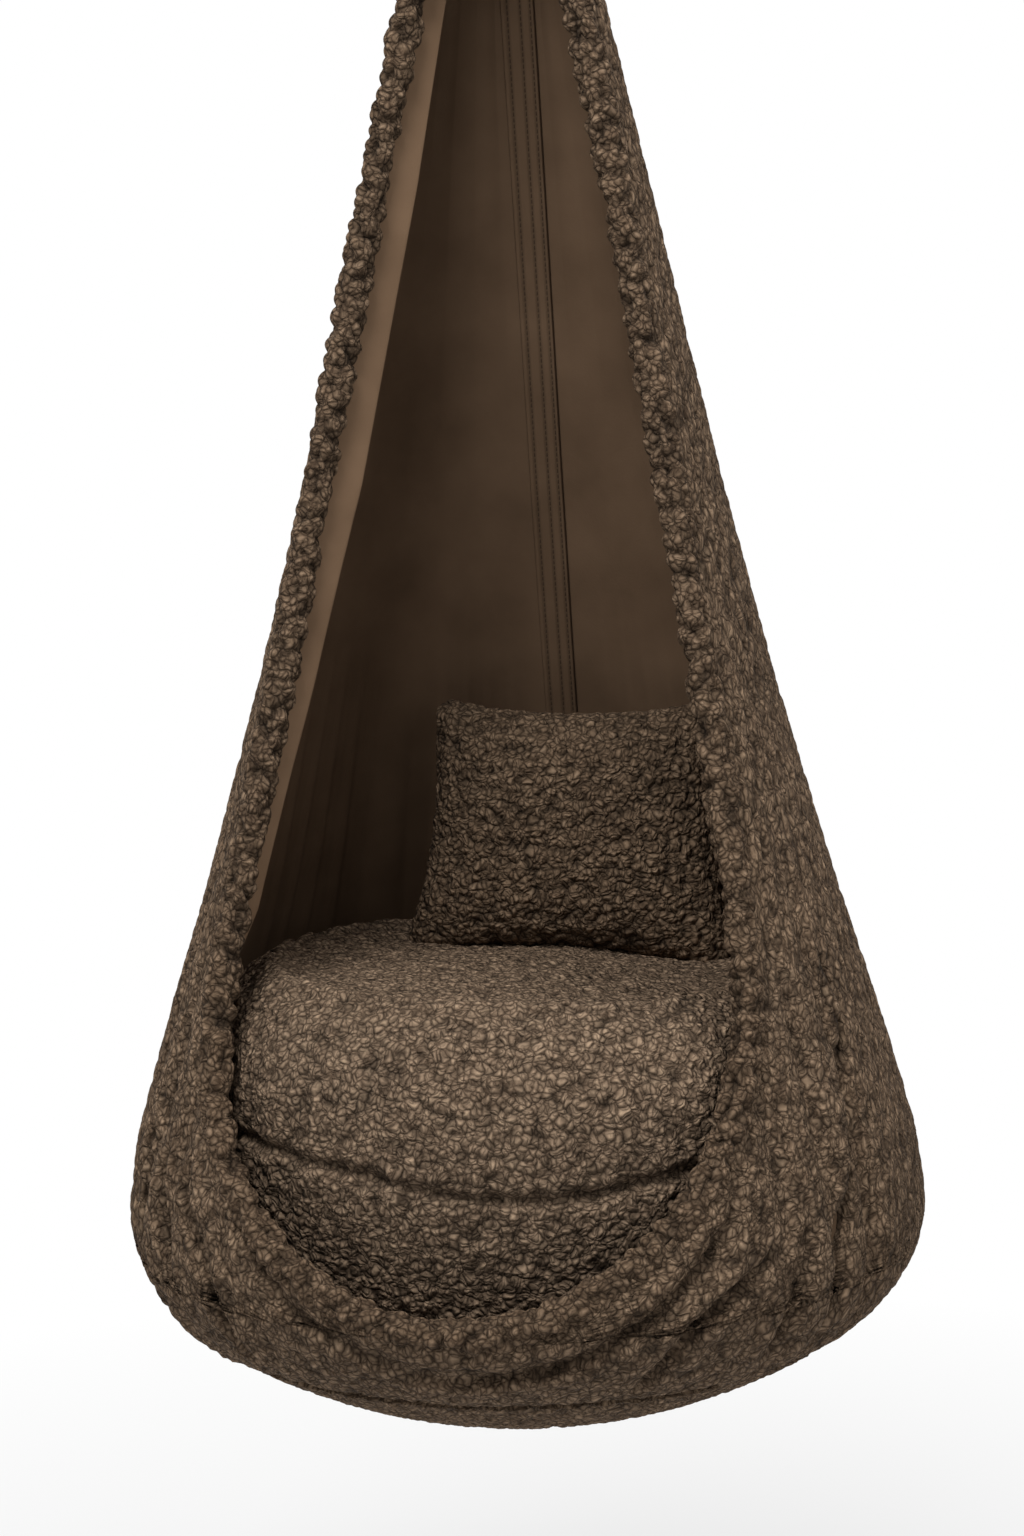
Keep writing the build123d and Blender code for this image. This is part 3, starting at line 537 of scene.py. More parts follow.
# %% Swags under the lip
# Each crease: points along it (angle in degrees, height over the belly in mm), then its depth
# and its width in mm.
CREASES = [
    ([(41, 96), (38.9, 56), (33.4, 23), (26.5, -12), (17.3, -42), (6, -58), (-8, -60)], 18, 8.5),
    ([(46, 28), (38.6, 4), (32.5, -20), (27.6, -63), (24, -92)], 16, 8),
    ([(52, 60), (50.5, 10), (47, -45), (45, -80)], 10, 7),
    ([(-53, 100), (-50.6, 39), (-47.5, 6), (-45, -60)], 14, 7),
    ([(-46, 110), (-43.2, 54), (-37.9, 14), (-34.8, -34), (-33, -90)], 16, 7.5),
    ([(-35, 96), (-30, 44), (-22, -10), (-12, -40), (0, -60)], 10, 9),
    ([(-61, 110), (-58, 40), (-55, -10), (-52, -60)], 12, 7),
]
CREASE_TAPER = 0.2
BESIDE_SHARE = 0.55
BESIDE_WIDTH = 3
CREASE_SHADE_NARROWS = 1.3


def swags(angle, z):
    """How far the creases sink the skin: for each, a bell of the distance to its line, measured on
    the unrolled skin, with a lower and wider bell taken off it, so the cloth beside it swells.
    A crease fades out over the first and last fifth of its length. Also returns painted shade,
    from 0 to 1, darkest on each crease's line, where shade falls."""
    sunk = 0 * z
    painted_shade = 0 * z
    flat = np.stack([angle * BELLY_RADIUS, z - belly_level], -1)
    for line, depth, width in CREASES:
        line = np.array(line) * np.array([np.radians(1) * BELLY_RADIUS, MM])
        steps = np.diff(line, axis=0)
        length = np.linalg.norm(steps, axis=1)
        along = np.concatenate([[0], np.cumsum(length)]) / length.sum()
        nearest = np.full(z.shape, FAR)
        place = 0 * z
        for k, step in enumerate(steps):
            share = np.clip(((flat - line[k]) @ step) / length[k] ** 2, 0, 1)
            away = np.linalg.norm(flat - line[k] - share[..., None] * step, axis=-1)
            place = np.where(away < nearest, along[k] + share * (along[k + 1] - along[k]), place)
            nearest = np.minimum(nearest, away)
        taper = np.clip(np.minimum(place, 1 - place) / CREASE_TAPER, 0, 1)
        near = nearest / (width * MM)
        beside = BESIDE_SHARE * np.exp(-(near / BESIDE_WIDTH) ** 2)
        sunk = sunk + depth * MM * taper * (np.exp(-near ** 2) - beside)
        painted_shade = np.maximum(painted_shade, taper * np.exp(-(CREASE_SHADE_NARROWS * near) ** 2))
    return sunk, painted_shade


print("creases:", len(CREASES))

# %% The pocket's outline
POCKET_TOP = belly_level + 235 * MM
POCKET_SIDE = 172 * MM
POCKET_SIDE_RISE = 50 * MM
POCKET_SLOPE = 0.5
POCKET_RANGE = (100 * MM, 192 * MM)


def pocket_seam(z):
    """How far forward (-y) the side seam of the front pocket lies at height z: a straight slope,
    further forward low down, kept to its range."""
    forward = POCKET_SIDE - POCKET_SLOPE * (z - belly_level - POCKET_SIDE_RISE)
    return -POD_LEAN - np.clip(forward, *POCKET_RANGE)


def in_front_pocket(points, faces):
    """True for each face whose middle lies forward of the pocket's seam and under its top."""
    middle = points[faces].mean(1)
    return (middle[:, 1] < pocket_seam(middle[:, 2])) & (middle[:, 2] < POCKET_TOP)


print("pocket seam at the belly:", round(float(pocket_seam(np.array(belly_level))), 3))

# %% Skin grids
SKIN_COLUMNS = 280
FINE_TOP = belly_level + 500 * MM
FINE_PITCH = 3.1 * MM
COARSE_PITCH = 4.4 * MM
TUFT_SIZE = 9.5 * MM
TUFT_RISE = 3.6 * MM
TUFT_HANG = np.array([1, 1, 0.6])
DEEPEST = 20 * MM
SEAM_SINK = 8 * MM
SEAM_BACK = 3 * MM
SEAM_WIDTH = 6 * MM
BACK_SEAM_WIDTH = 3.5 * MM
BASE_SEAM_WIDTH = 5 * MM
POCKET_RISE = 7 * MM
POCKET_FADE = 18 * MM
PAINTED_SHADE_SHARE = 0.7
low_rows = np.arange(base_seam, FINE_TOP, FINE_PITCH)
high_rows = np.arange(low_rows[-1] + COARSE_PITCH, neck_top, COARSE_PITCH)
skin_levels = np.concatenate([low_rows, high_rows, [neck_top]])


def skin_half(side):
    """One half of the skin, as a grid: angle from the opening's edge to the back against height,
    at the outline's radius less the dents and the creases, then moved along its normals by the
    tufts, the bells of the seams and the pocket's edge, which stands proud. Returns the bare
    grid, the tufted grid, the tuft heights and the painted shade of the creases and seams."""
    z = np.repeat(skin_levels[:, None], SKIN_COLUMNS, 1)
    start = rim_angle(z)
    angle = start + (np.pi - start) * np.linspace(0, 1, SKIN_COLUMNS)
    sunk, painted_shade = swags(side * angle, z)
    radius = pod_radius(z) - DEEPEST * np.tanh((dents(angle, z) + sunk) / DEEPEST)
    bare = pod_point(radius, side * angle, z)
    behind = bare[..., 1] - pocket_seam(z)
    seam = np.exp(-((behind - SEAM_BACK) / SEAM_WIDTH) ** 2) * (z < POCKET_TOP)
    proud = POCKET_RISE * np.exp(behind / POCKET_FADE) * (behind < 0) * (z < POCKET_TOP)
    back = np.exp(-((np.pi - angle) * radius / BACK_SEAM_WIDTH) ** 2)
    base = 0.5 * np.exp(-((z - base_seam) / BASE_SEAM_WIDTH) ** 2)
    normal = grid_normals(bare) * side
    height = tufts(bare.reshape(-1, 3) * TUFT_HANG, TUFT_SIZE).reshape(z.shape)
    sink = SEAM_SINK * np.clip(seam + back + base, 0, 1) - proud
    lifted = bare + normal * (tuft_lift(height, TUFT_RISE) - sink)[..., None]
    # Painted shade: darker in the creases and along the seams, where shade falls.
    painted_shade = PAINTED_SHADE_SHARE * np.maximum(painted_shade, np.clip(seam + 0.6 * back + base, 0, 1))
    return bare, lifted, height, painted_shade


print("skin grid:", len(skin_levels), "rows of", SKIN_COLUMNS)

# %% Panels and pocket


def skin_pieces(side):
    """One half of the skin as lists: its points, bare and tufted, its tuft heights and painted
    shade, its faces, and which of those belong to the front pocket."""
    bare, lifted, height, painted_shade = skin_half(side)
    faces = grid_faces(*height.shape)
    faces = faces if side > 0 else faces[:, ::-1]
    flat = bare.reshape(-1, 3)
    in_pocket = in_front_pocket(flat, faces)
    return flat, lifted.reshape(-1, 3), height.ravel(), painted_shade.ravel(), faces, in_pocket


halves = {"right": skin_pieces(1), "left": skin_pieces(-1)}
for hand, (flat, lifted, height, painted_shade, faces, in_pocket) in halves.items():
    side_faces = faces[~in_pocket]
    points, numbered, mark, painted_shade_mark = used_only(lifted, side_faces, height, painted_shade)
    panel = make_piece(f"{hand}_skin", points, numbered, brown_plush, "pod",
                       {"tuft": mark, "painted_shade": painted_shade_mark})
    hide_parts(f"{hand}_panel")

# %% The front pocket
right_flat, right_lifted, right_height, right_painted_shade, right_faces, right_pocket = halves["right"]
left_flat, left_lifted, left_height, left_painted_shade, left_faces, left_pocket = halves["left"]
pocket_faces = np.concatenate([right_faces[right_pocket],
                               left_faces[left_pocket] + len(right_lifted)])
points, numbered, mark, painted_shade_mark = used_only(
    np.concatenate([right_lifted, left_lifted]), pocket_faces,
    np.concatenate([right_height, left_height]), np.concatenate([right_painted_shade, left_painted_shade]))
pocket = make_piece("pocket_skin", points, numbered, pocket_plush, "pod",
                    {"tuft": mark, "painted_shade": painted_shade_mark})
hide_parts("front_pocket")

# %% [markdown]
# ## The base panel
#
# Underneath, a round panel closes the bag. It hangs as a shallow dish, which is part of a
# sphere through the base seam. Rings of points around the axis make it, with one point at the
# middle, so the pole is closed.

# %% Dish of rings


def dish_faces(rings, around):
    """Faces of a disc: triangles from the middle point to the first ring, quads between rings.
    Point 0 is the middle, and each ring follows with its points in order."""
    step = np.arange(around)
    first = np.stack([np.zeros(around, int), 1 + step, 1 + (step + 1) % around], 1)
    quads = 1 + grid_faces(rings, around, closed=True)
    return first.tolist() + quads[:, ::-1].tolist()


def dish(radii, levels, around):
    """Rings of those radii and heights around the pod's axis, with one point in the middle. The
    first radius is 0."""
    turn = np.linspace(0, 2 * np.pi, around, endpoint=False)
    radius = radii[1:, None]
    ring = np.stack([radius * np.sin(turn), -POD_LEAN - radius * np.cos(turn),
                     levels[1:, None] + 0 * turn], -1)
    return np.concatenate([[[0, -POD_LEAN, levels[0]]], ring.reshape(-1, 3)])


BASE_RADIUS = float(pod_radius(np.array(base_seam)))
base_sag = base_seam - base_bottom
base_sphere = (BASE_RADIUS ** 2 + base_sag ** 2) / (2 * base_sag)


def base_level(radius):
    """Height of the base: a sphere that sits on the lowest point and passes the seam."""
    return base_bottom + base_sphere - np.sqrt(base_sphere ** 2 - radius ** 2)


BASE_RINGS = 80
BASE_AROUND = 500
SEAM_TURN = np.array([-4, -9]) * MM
SEAM_CLIMB = np.array([5, 12]) * MM
base_radii = np.linspace(0, BASE_RADIUS, BASE_RINGS - 1)
base_levels = np.concatenate([base_level(base_radii), base_seam + SEAM_CLIMB])
base_radii = np.concatenate([base_radii, BASE_RADIUS + SEAM_TURN])
base_points = dish(base_radii, base_levels, BASE_AROUND)
to_sphere = np.array([0, -POD_LEAN, base_bottom + base_sphere]) - base_points
base_normal = -to_sphere / np.linalg.norm(to_sphere, axis=1, keepdims=True)
base_tufts = tufts(base_points, TUFT_SIZE)
base_points = base_points + base_normal * tuft_lift(base_tufts, TUFT_RISE)[:, None]
base_faces = [face[::-1] for face in dish_faces(BASE_RINGS, BASE_AROUND)]
base = make_piece("base_skin", base_points, base_faces, brown_plush, "pod",
                  {"tuft": base_tufts})
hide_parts("base_panel")

# %% [markdown]
# ## The lining
#
# The lining is a second bag inside the first, 11 mm in, with its own slack: it hangs from the
# hem and folds softly where the sitter's weight has stretched it, most of all low down at the
# sides of the seat. It reads the same outline as the skin, so it can't poke through. The folds
# are slow waves round the wall that fade with height. Just behind the hem the cloth is turned
# back on itself, and this facing stands inwards as a soft lip that catches the light; its front
# is also painted paler, as painted light.

# %% Slack of the lining
FOLD_RISE = 9 * MM
RIPPLE_RISE = 4.5 * MM
BRUSH_RISE = 2.5 * MM


def lining_slack(angle, share, side):
    """How far the lining's slack pushes it in, at an angle and a share of the pod's rise: where a
    product of two sines is positive for the slow folds, and where one sine is for the narrow
    ripples. Each is strongest in a bell low down. Shallow waves grow upwards."""
    low = np.exp(-((share - 0.12) / 0.16) ** 2)
    wave = np.sin(angle * 11 + 2.2 * share + 0.8 * side) * np.sin(angle * 4.3 + 1.1 + 0.6 * side)
    folds = FOLD_RISE * np.clip(wave, 0, 1) * low
    ripple = np.sin(angle * 44 + 3 * np.sin(angle * 9) + 4 * share)
    folds = folds + RIPPLE_RISE * np.clip(ripple, 0, 1) * np.exp(-((share - 0.2) / 0.11) ** 2)
    return folds + BRUSH_RISE * np.clip(np.sin(angle * 15 + 5 * share), 0, 1) * np.clip(share, 0, 1)


print("lining folds:", FOLD_RISE / MM, "mm deep")

# %% Lining grids
LINING_DEPTH = 11.3 * MM
LINING_ROWS = 240
LINING_COLUMNS = 230
LINING_SETBACK = 5 * MM
lining_levels = np.linspace(base_seam, neck_top - 42 * MM, LINING_ROWS)
LIP_RISES = {1: 16 * MM, -1: 37 * MM}
LIP_CREST = 15 * MM
LIP_FOOT = 62 * MM
LIP_EDGE = 3 * MM
LIP_STATIONS = np.array([0.15, 0.22, 0.35, 0.5, 0.7, 0.85, 0.94])
LIP_SHARES = np.array([0, 0.55, 0.8, 1, 0.95, 0.7, 0])


def eased(share):
    """A smooth step from 0 to 1: three squares less two cubes."""
    return share ** 2 * (3 - 2 * share)


def lining_half(side):
    """One half of the lining: the skin's grid moved inward by the two layers, starting a little
    behind the opening's edge, and pushed further in by its slack. Behind the hem it stands up in
    a lip, one smooth step in and one out. Also returns painted light: 1 on the facing, the front
    of that lip, which is painted paler, and 0 behind it."""
    z = np.repeat(lining_levels[:, None], LINING_COLUMNS, 1)
    outer = pod_radius(z)
    start = rim_angle(z)
    start = start + (start > 0) * LINING_SETBACK / outer
    angle = start + (np.pi - start) * np.linspace(0, 1, LINING_COLUMNS) ** 1.3
    share = (z - belly_level) / POD_RISE
    behind = (angle - start) * outer
    step_in = np.clip(behind / LIP_CREST, 0, 1)
    step_out = np.clip((LIP_FOOT - behind) / (LIP_FOOT - LIP_CREST), 0, 1)
    lip = LIP_RISES[side] * eased(step_in) * eased(step_out)
    lip = lip * np.interp(share, LIP_STATIONS, LIP_SHARES, left=0, right=0)
    # Painted light: the front of the lip is painted paler, where it catches the light.
    painted_lip_light = np.clip((LIP_CREST + LIP_EDGE - behind) / LIP_EDGE, 0, 1) * (lip > 0)
    away = np.clip(behind / LIP_FOOT, 0, 1)
    radius = outer - LINING_DEPTH - lining_slack(angle, share, side) * away - lip
    return pod_point(radius, side * angle, z), painted_lip_light


print("lining grid:", LINING_ROWS, "rows of", LINING_COLUMNS)

# %% Lining walls
HANDS = {"right": 1, "left": -1}
pocket_parts = {}
for hand, side in HANDS.items():
    grid, painted_lip_light = lining_half(side)
    faces = grid_faces(*grid.shape[:2])
    faces = faces[:, ::-1] if side > 0 else faces
    flat = grid.reshape(-1, 3)
    in_pocket = in_front_pocket(flat, faces)
    points, numbered, mark = used_only(flat, faces[~in_pocket], painted_lip_light.ravel())
    wall = make_piece(f"{hand}_inner", points, numbered, brown_lining, "pod",
                      {"painted_lip_light": mark})
    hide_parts(f"{hand}_lining")
    pocket_parts[hand] = (flat, faces[in_pocket])

# %% Pocket lining and base lining
right_flat, right_faces = pocket_parts["right"]
left_flat, left_faces = pocket_parts["left"]
pocket_points = np.concatenate([right_flat, left_flat])
pocket_faces = np.concatenate([right_faces, left_faces + len(right_flat)])
points, numbered = used_only(pocket_points, pocket_faces)
pocket_inner = make_piece("pocket_inner", points, numbered, brown_lining, "pod")
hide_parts("pocket_lining")
INNER_RINGS = 40
INNER_AROUND = 200
inner_radii = np.linspace(0, BASE_RADIUS - 12 * MM, INNER_RINGS + 1)
inner_points = dish(inner_radii, base_level(inner_radii) + LINING_DEPTH, INNER_AROUND)
base_inner = make_piece("base_inner", inner_points, dish_faces(INNER_RINGS, INNER_AROUND),
                        brown_lining, "pod")
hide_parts("base_lining")

# %% [markdown]
# ## The band over the back seam
#
# The two halves of the lining meet behind the sitter's head, and a narrow band covers their
# seam. It is sewn down with three rows of stitches, which pull the band in where they pass.
# The band is a fine grid, and the stitches are part of its relief: each row is a groove, and
# along it the thread shows as a string of short beads. A mark on each point tells the finish
# where the dark thread is, and where painted shade darkens the grooves and one edge of the band.

# %% The band and its stitches
BAND_WIDTH = 31 * MM
BAND_PITCH = 1.25 * MM
BAND_COLUMNS = 63
BAND_RISE = 4.6 * MM
EDGE_DROP = 4.2 * MM
STITCH_ROWS = np.array([-9, 2.5, 11.5]) * MM
STITCH_LENGTH = 5 * MM
GROOVE_WIDTH = 1.5 * MM
GROOVE_DEPTH = 1.7 * MM
THREAD_WIDTH = 0.55 * MM
THREAD_RISE = 0.9 * MM
band_low, band_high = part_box("back_band")
band_levels = np.arange(band_low.z, band_high.z, BAND_PITCH)
band_across = np.linspace(-0.5, 0.5, BAND_COLUMNS) * BAND_WIDTH
z, across = np.meshgrid(band_levels, band_across, indexing="ij")
rows_away = across[..., None] - STITCH_ROWS
groove = np.exp(-(rows_away / GROOVE_WIDTH) ** 2).sum(-1)
thread = np.exp(-(rows_away / THREAD_WIDTH) ** 2).sum(-1)
bead = np.clip(2 * np.sin(2 * np.pi * z / STITCH_LENGTH) + 1.2, 0, 1)
inward = LINING_DEPTH + BAND_RISE - GROOVE_DEPTH * groove + THREAD_RISE * thread * bead
edge_roll = np.clip((np.abs(across) - 0.44 * BAND_WIDTH) / (0.06 * BAND_WIDTH), 0, 1)
band_radius = pod_radius(z) - inward + EDGE_DROP * edge_roll ** 2
edge_shade = 0.7 * np.clip((across - 0.46 * BAND_WIDTH) / (0.02 * BAND_WIDTH), 0, 1)
# Painted shade: the grooves and one edge of the band are darkened, where shade falls, in the same
# mark as the thread.
band_thread_and_shade = np.maximum(np.clip(thread * bead + 0.25 * groove, 0, 1), edge_shade)
band_grid = pod_point(band_radius, np.pi - across / band_radius, z)
band_faces = grid_faces(*z.shape)
band = make_piece("back_seam_band", band_grid.reshape(-1, 3), band_faces, brown_lining, "pod",
                  {"stitch": band_thread_and_shade.ravel()})
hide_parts("back_band")

# %% [markdown]
# ## The rolled hem
#
# The opening is edged with a thick roll of the same plush, stuffed with a strip of wadding. Its
# curls stand further out than those of the skin, because the roll stretches the pile open. It
# is a round profile carried along the opening's edge. At each point the profile stands square
# to the path, with its first direction pointing out of the pod.

# %% Rolls along the rim
HEM_RADIUS = 12.5 * MM
HEM_AROUND = 40
HEM_TUFT = 13 * MM
HEM_RISE = 8.5 * MM
HEM_SWELL = 0.06
HEM_SWELL_STEPS = 23


def roll_along(path, radius, around):
    """Circles of that radius carried along a path: square to its direction, starting from the
    side that looks away from the pod's axis. Returns the grid of points and their normals."""
    ahead = np.gradient(path, axis=0)
    ahead = ahead / np.linalg.norm(ahead, axis=1, keepdims=True)
    away = path - np.stack([0 * path[:, 0], pod_centre(path[:, 2]), path[:, 2]], 1)
    away = away - ahead * (away * ahead).sum(1, keepdims=True)
    away = away / np.linalg.norm(away, axis=1, keepdims=True)
    beside = np.cross(ahead, away)
    turn = np.linspace(0, 2 * np.pi, around, endpoint=False)[None, :, None]
    normal = np.cos(turn) * away[:, None, :] + np.sin(turn) * beside[:, None, :]
    return path[:, None, :] + np.reshape(radius, (-1, 1, 1)) * normal, normal


for hand, side in HANDS.items():
    path = rim * np.array([side, 1, 1])
    swell = HEM_SWELL * np.sin(np.arange(RIM_STEPS) / HEM_SWELL_STEPS + side)
    plump = HEM_RADIUS * (1 + swell)
    grid, normal = roll_along(path, plump, HEM_AROUND)
    bare = grid.reshape(-1, 3)
    height = tufts(bare, HEM_TUFT, seed=2.0)
    points = bare + normal.reshape(-1, 3) * tuft_lift(height, HEM_RISE)[:, None]
    faces = grid_faces(RIM_STEPS, HEM_AROUND, closed=True)
    roll = make_piece(f"{hand}_roll", points, faces[:, ::-1], hem_plush, "pod",
                      {"tuft": height})
    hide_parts(f"{hand}_hem")

# %% [markdown]
# ## Stuffed pieces by cloth simulation
#
# A cushion is two or three flat cuts sewn together and filled. Drawing its final shape by
# formula tends to look inflated in the wrong places, so we let Blender's cloth do it: a rough
# closed shape is remeshed into even faces, then pressed out from inside for twenty frames while
# its seam is held. How far a point may move is capped, so the cushion keeps to its place.

# %% Helpers for meshes


def mesh_points(mesh):
    """The points of a mesh as an array, three columns."""
    flat = np.empty(len(mesh.vertices) * 3)
    mesh.vertices.foreach_get("co", flat)
    return flat.reshape(-1, 3)


def applied(piece):
    """A new mesh of the piece with its modifiers worked in."""
    graph = bpy.context.evaluated_depsgraph_get()
    return bpy.data.meshes.new_from_object(piece.evaluated_get(graph))


def mesh_faces(mesh):
    """The faces of a mesh as a list of corner lists."""
    return [list(face.vertices) for face in mesh.polygons]


print("mesh helpers ready")

# %% Puffing a closed shape
PUFF_CAP = 12 * MM


def even_mesh(name, points, faces, voxel):
    """A closed shape remeshed into even quads of about one voxel."""
    rough = bpy.data.meshes.new(name + "_rough")
    rough.from_pydata(points.tolist(), [], faces)
    piece = bpy.data.objects.new(name + "_rough", rough)
    bpy.context.scene.collection.objects.link(piece)
    remesh = piece.modifiers.new("even", "REMESH")
    remesh.mode = "VOXEL"
    remesh.voxel_size = voxel
    even = applied(piece)
    bpy.data.objects.remove(piece)
    return even


def puffed(name, even, held, cap, pressure=4.0, frames=20):
    """Presses a closed mesh out from inside with Cloth, holds the points listed in held, and
    lets no point move further than the cap. Returns the mesh, once subdivided."""
    piece = bpy.data.objects.new(name + "_cloth", even)
    bpy.context.scene.collection.objects.link(piece)
    rest = mesh_points(even)
    pins = piece.vertex_groups.new(name="held")
    pins.add(held.tolist(), 1.0, "REPLACE")
    cloth = piece.modifiers.new("cloth", "CLOTH")
    cloth.settings.vertex_group_mass = "held"
    cloth.settings.use_pressure = True
    cloth.settings.uniform_pressure_force = pressure
    cloth.settings.effector_weights.gravity = 0
    cloth.settings.quality = 5
    cloth.point_cache.frame_end = frames
    for step in range(1, frames + 1):
        bpy.context.scene.frame_set(step)
    moved = mesh_points(applied(piece)) - rest
    length = np.maximum(np.linalg.norm(moved, axis=1, keepdims=True), 1e-9)
    rest = rest + moved * np.minimum(1, cap / length)
    piece.modifiers.remove(cloth)
    bpy.context.scene.frame_set(1)
    print(name, "moved at most", round(float(length.max()) / MM, 1), "mm before the cap")
    even.vertices.foreach_set("co", rest.ravel())
    even.update()
    smooth = piece.modifiers.new("smooth", "SUBSURF")
    smooth.levels = 1
    smooth.render_levels = 1
    fine = applied(piece)
    bpy.data.objects.remove(piece)
    return fine


def tufted(fine, size, rise, seed, extra=0.0):
    """Lifts a mesh's points along their normals by tufts and by an extra amount for each point.
    Returns the points and the tuft heights."""
    points = mesh_points(fine)
    normal = np.empty(len(points) * 3)
    fine.vertex_normals.foreach_get("vector", normal)
    height = tufts(points, size, seed)
    lift = tuft_lift(height, rise) + extra
    return points + normal.reshape(-1, 3) * np.reshape(lift, (-1, 1)), height


print("no point is puffed further than", PUFF_CAP / MM, "mm")

# %% [markdown]
# ## The seat cushion
#
# The seat is a big round cushion: a flat domed top, a seam all round its edge, and a side band
# that goes down into the pod. Its rough shape is a profile carried round the axis, with the seam
# sinking at the front. The seam and the underside are held while the rest is pressed out, so the
# top and the band swell on either side of the seam. Then come the marks of use: puckers where the
# seam gathers the cloth, a dent under the pillow, a pinch at the left where the rim presses, and
# a fall at the right, where the filling has settled.

# %% Shape of the seat cushion
crown_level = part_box("cushion_top")[1].z
seam_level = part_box("cushion_side")[1].z
foot_level = base_seam + 2 * MM
CUSHION_EDGE = 292 * MM
CUSHION_FOOT = 262 * MM
CUSHION_BULGE = 9 * MM
CUSHION_AROUND = 240
CROWN_ROOM = 10 * MM
CROWN_FLATNESS = 13
CROWN_ROUNDING = 1 / 2.5
SHOULDER_RISE = 18 * MM
SHOULDER_PLACE = 0.86
SHOULDER_WIDTH = 0.12
UNDER_ROOM = 18 * MM
SEAM_LIFT = 12 * MM
LEG_SINK = 30 * MM
LEG_PLACE = np.radians(11)
LEG_WIDTH = 0.55


def seam_height(angle):
    """Height of the cushion's seam round the pod: a little high, and sunk in a bell at the front,
    where the sitter's legs press it down."""
    sunk = LEG_SINK * np.exp(-((angle - LEG_PLACE) / LEG_WIDTH) ** 2)
    return seam_level + SEAM_LIFT - sunk


def cushion_rings(angle):
    """Rings of the cushion for those angles, top to bottom: a flat dome down to the seam, with its
    shoulder raised in a bell, because the pressure rounds it off; a band that bulges by half a
    sine; and an underside that follows the dish of the base."""
    out = np.sin(np.linspace(0.02, 1, 60) * np.pi / 2)[:, None]
    down = np.linspace(0, 1, 30)[1:, None]
    home = np.linspace(1, 0.02, 30)[1:, None]
    seam = seam_height(angle)
    arch = (1 - out ** CROWN_FLATNESS) ** CROWN_ROUNDING
    dome = seam + (crown_level - CROWN_ROOM - seam) * arch
    dome = dome + SHOULDER_RISE * np.exp(-((out - SHOULDER_PLACE) / SHOULDER_WIDTH) ** 2)
    band = CUSHION_EDGE + (CUSHION_FOOT - CUSHION_EDGE) * down
    band = band + CUSHION_BULGE * np.sin(np.pi * down)
    radius = np.concatenate([CUSHION_EDGE * out, band, CUSHION_FOOT * home])
    under = base_level(CUSHION_FOOT * home) + UNDER_ROOM + 0 * angle
    height = np.concatenate([dome, seam + (foot_level - seam) * down, under])
    return np.stack([radius * np.sin(angle), -POD_LEAN - radius * np.cos(angle), height], -1)


rings = cushion_rings(np.linspace(-np.pi, np.pi, CUSHION_AROUND, endpoint=False))
ring_count = len(rings)
print("cushion rings:", ring_count)

# %% The cushion closed and puffed
CUSHION_VOXEL = 6 * MM
SEAM_HOLD = 5 * MM
FOOT_HOLD = 6 * MM
caps = np.stack([rings[0].mean(0), rings[-1].mean(0)])
step = np.arange(CUSHION_AROUND)
after = (step + 1) % CUSHION_AROUND
last = (ring_count - 1) * CUSHION_AROUND
middle = ring_count * CUSHION_AROUND
top_fan = np.stack([0 * step + middle, step, after], 1)
low_fan = np.stack([0 * step + middle + 1, last + after, last + step], 1)
band_quads = grid_faces(ring_count, CUSHION_AROUND, closed=True)[:, ::-1]
rough_faces = top_fan.tolist() + low_fan.tolist() + band_quads.tolist()
rough_points = np.concatenate([rings.reshape(-1, 3), caps])
cushion_even = even_mesh("cushion", rough_points, rough_faces, CUSHION_VOXEL)
even_points = mesh_points(cushion_even)
even_angle = np.arctan2(even_points[:, 0], -even_points[:, 1] - POD_LEAN)
near_seam = np.abs(even_points[:, 2] - seam_height(even_angle)) < SEAM_HOLD
underneath = even_points[:, 2] < foot_level + FOOT_HOLD
cushion_held = np.flatnonzero(near_seam | underneath)
cushion_fine = puffed("cushion", cushion_even, cushion_held, PUFF_CAP)
print("cushion points held:", len(cushion_held))

# %% Where the cushion is sewn and worn
CUSHION_SEAM_WIDTH = 5.5 * MM
PUCKER_REACH = 28 * MM
TOP_FADE = 60 * MM
DENT_MIDDLE = 15 * MM
DENT_HALF = 170 * MM
DENT_FRONT = -10 * MM
DENT_RUN = 90 * MM
FALL_START = 15 * MM
FALL_RUN = 150 * MM
PINCH_PLACE = -0.92
PINCH_WIDTH = 0.13
PINCH_RISE = 52 * MM
PINCH_HEIGHT = 20 * MM
points = mesh_points(cushion_fine)
around = np.arctan2(points[:, 0], -points[:, 1] - POD_LEAN)
from_seam = points[:, 2] - seam_height(around)
out_share = np.hypot(points[:, 0], points[:, 1] + POD_LEAN) / CUSHION_EDGE
on_edge = np.clip((out_share - 0.8) / 0.2, 0, 1)
on_top = np.clip(from_seam / TOP_FADE, 0, 1)
seam_line = np.exp(-(from_seam / CUSHION_SEAM_WIDTH) ** 2) * on_edge
pucker = np.sin(34 * around + 2 * np.sin(5 * around)) * np.sin(13 * around + 1)
pucker = pucker * np.exp(-np.abs(from_seam) / PUCKER_REACH) * on_edge
backward = eased(np.clip((points[:, 1] - DENT_FRONT) / DENT_RUN, 0, 1))
pressed = np.exp(-((points[:, 0] - DENT_MIDDLE) / DENT_HALF) ** 4) * backward * on_top
fallen = np.clip((points[:, 0] - FALL_START) / FALL_RUN, 0, 1) ** 1.4
fallen = fallen * np.cos(np.pi / 2 * np.clip(2 * out_share - 1, 0, 1)) ** 2 * on_top
pinch_up = (from_seam - PINCH_RISE) / PINCH_HEIGHT
pinched = np.exp(-((around - PINCH_PLACE) / PINCH_WIDTH) ** 2 - pinch_up ** 2) * on_edge
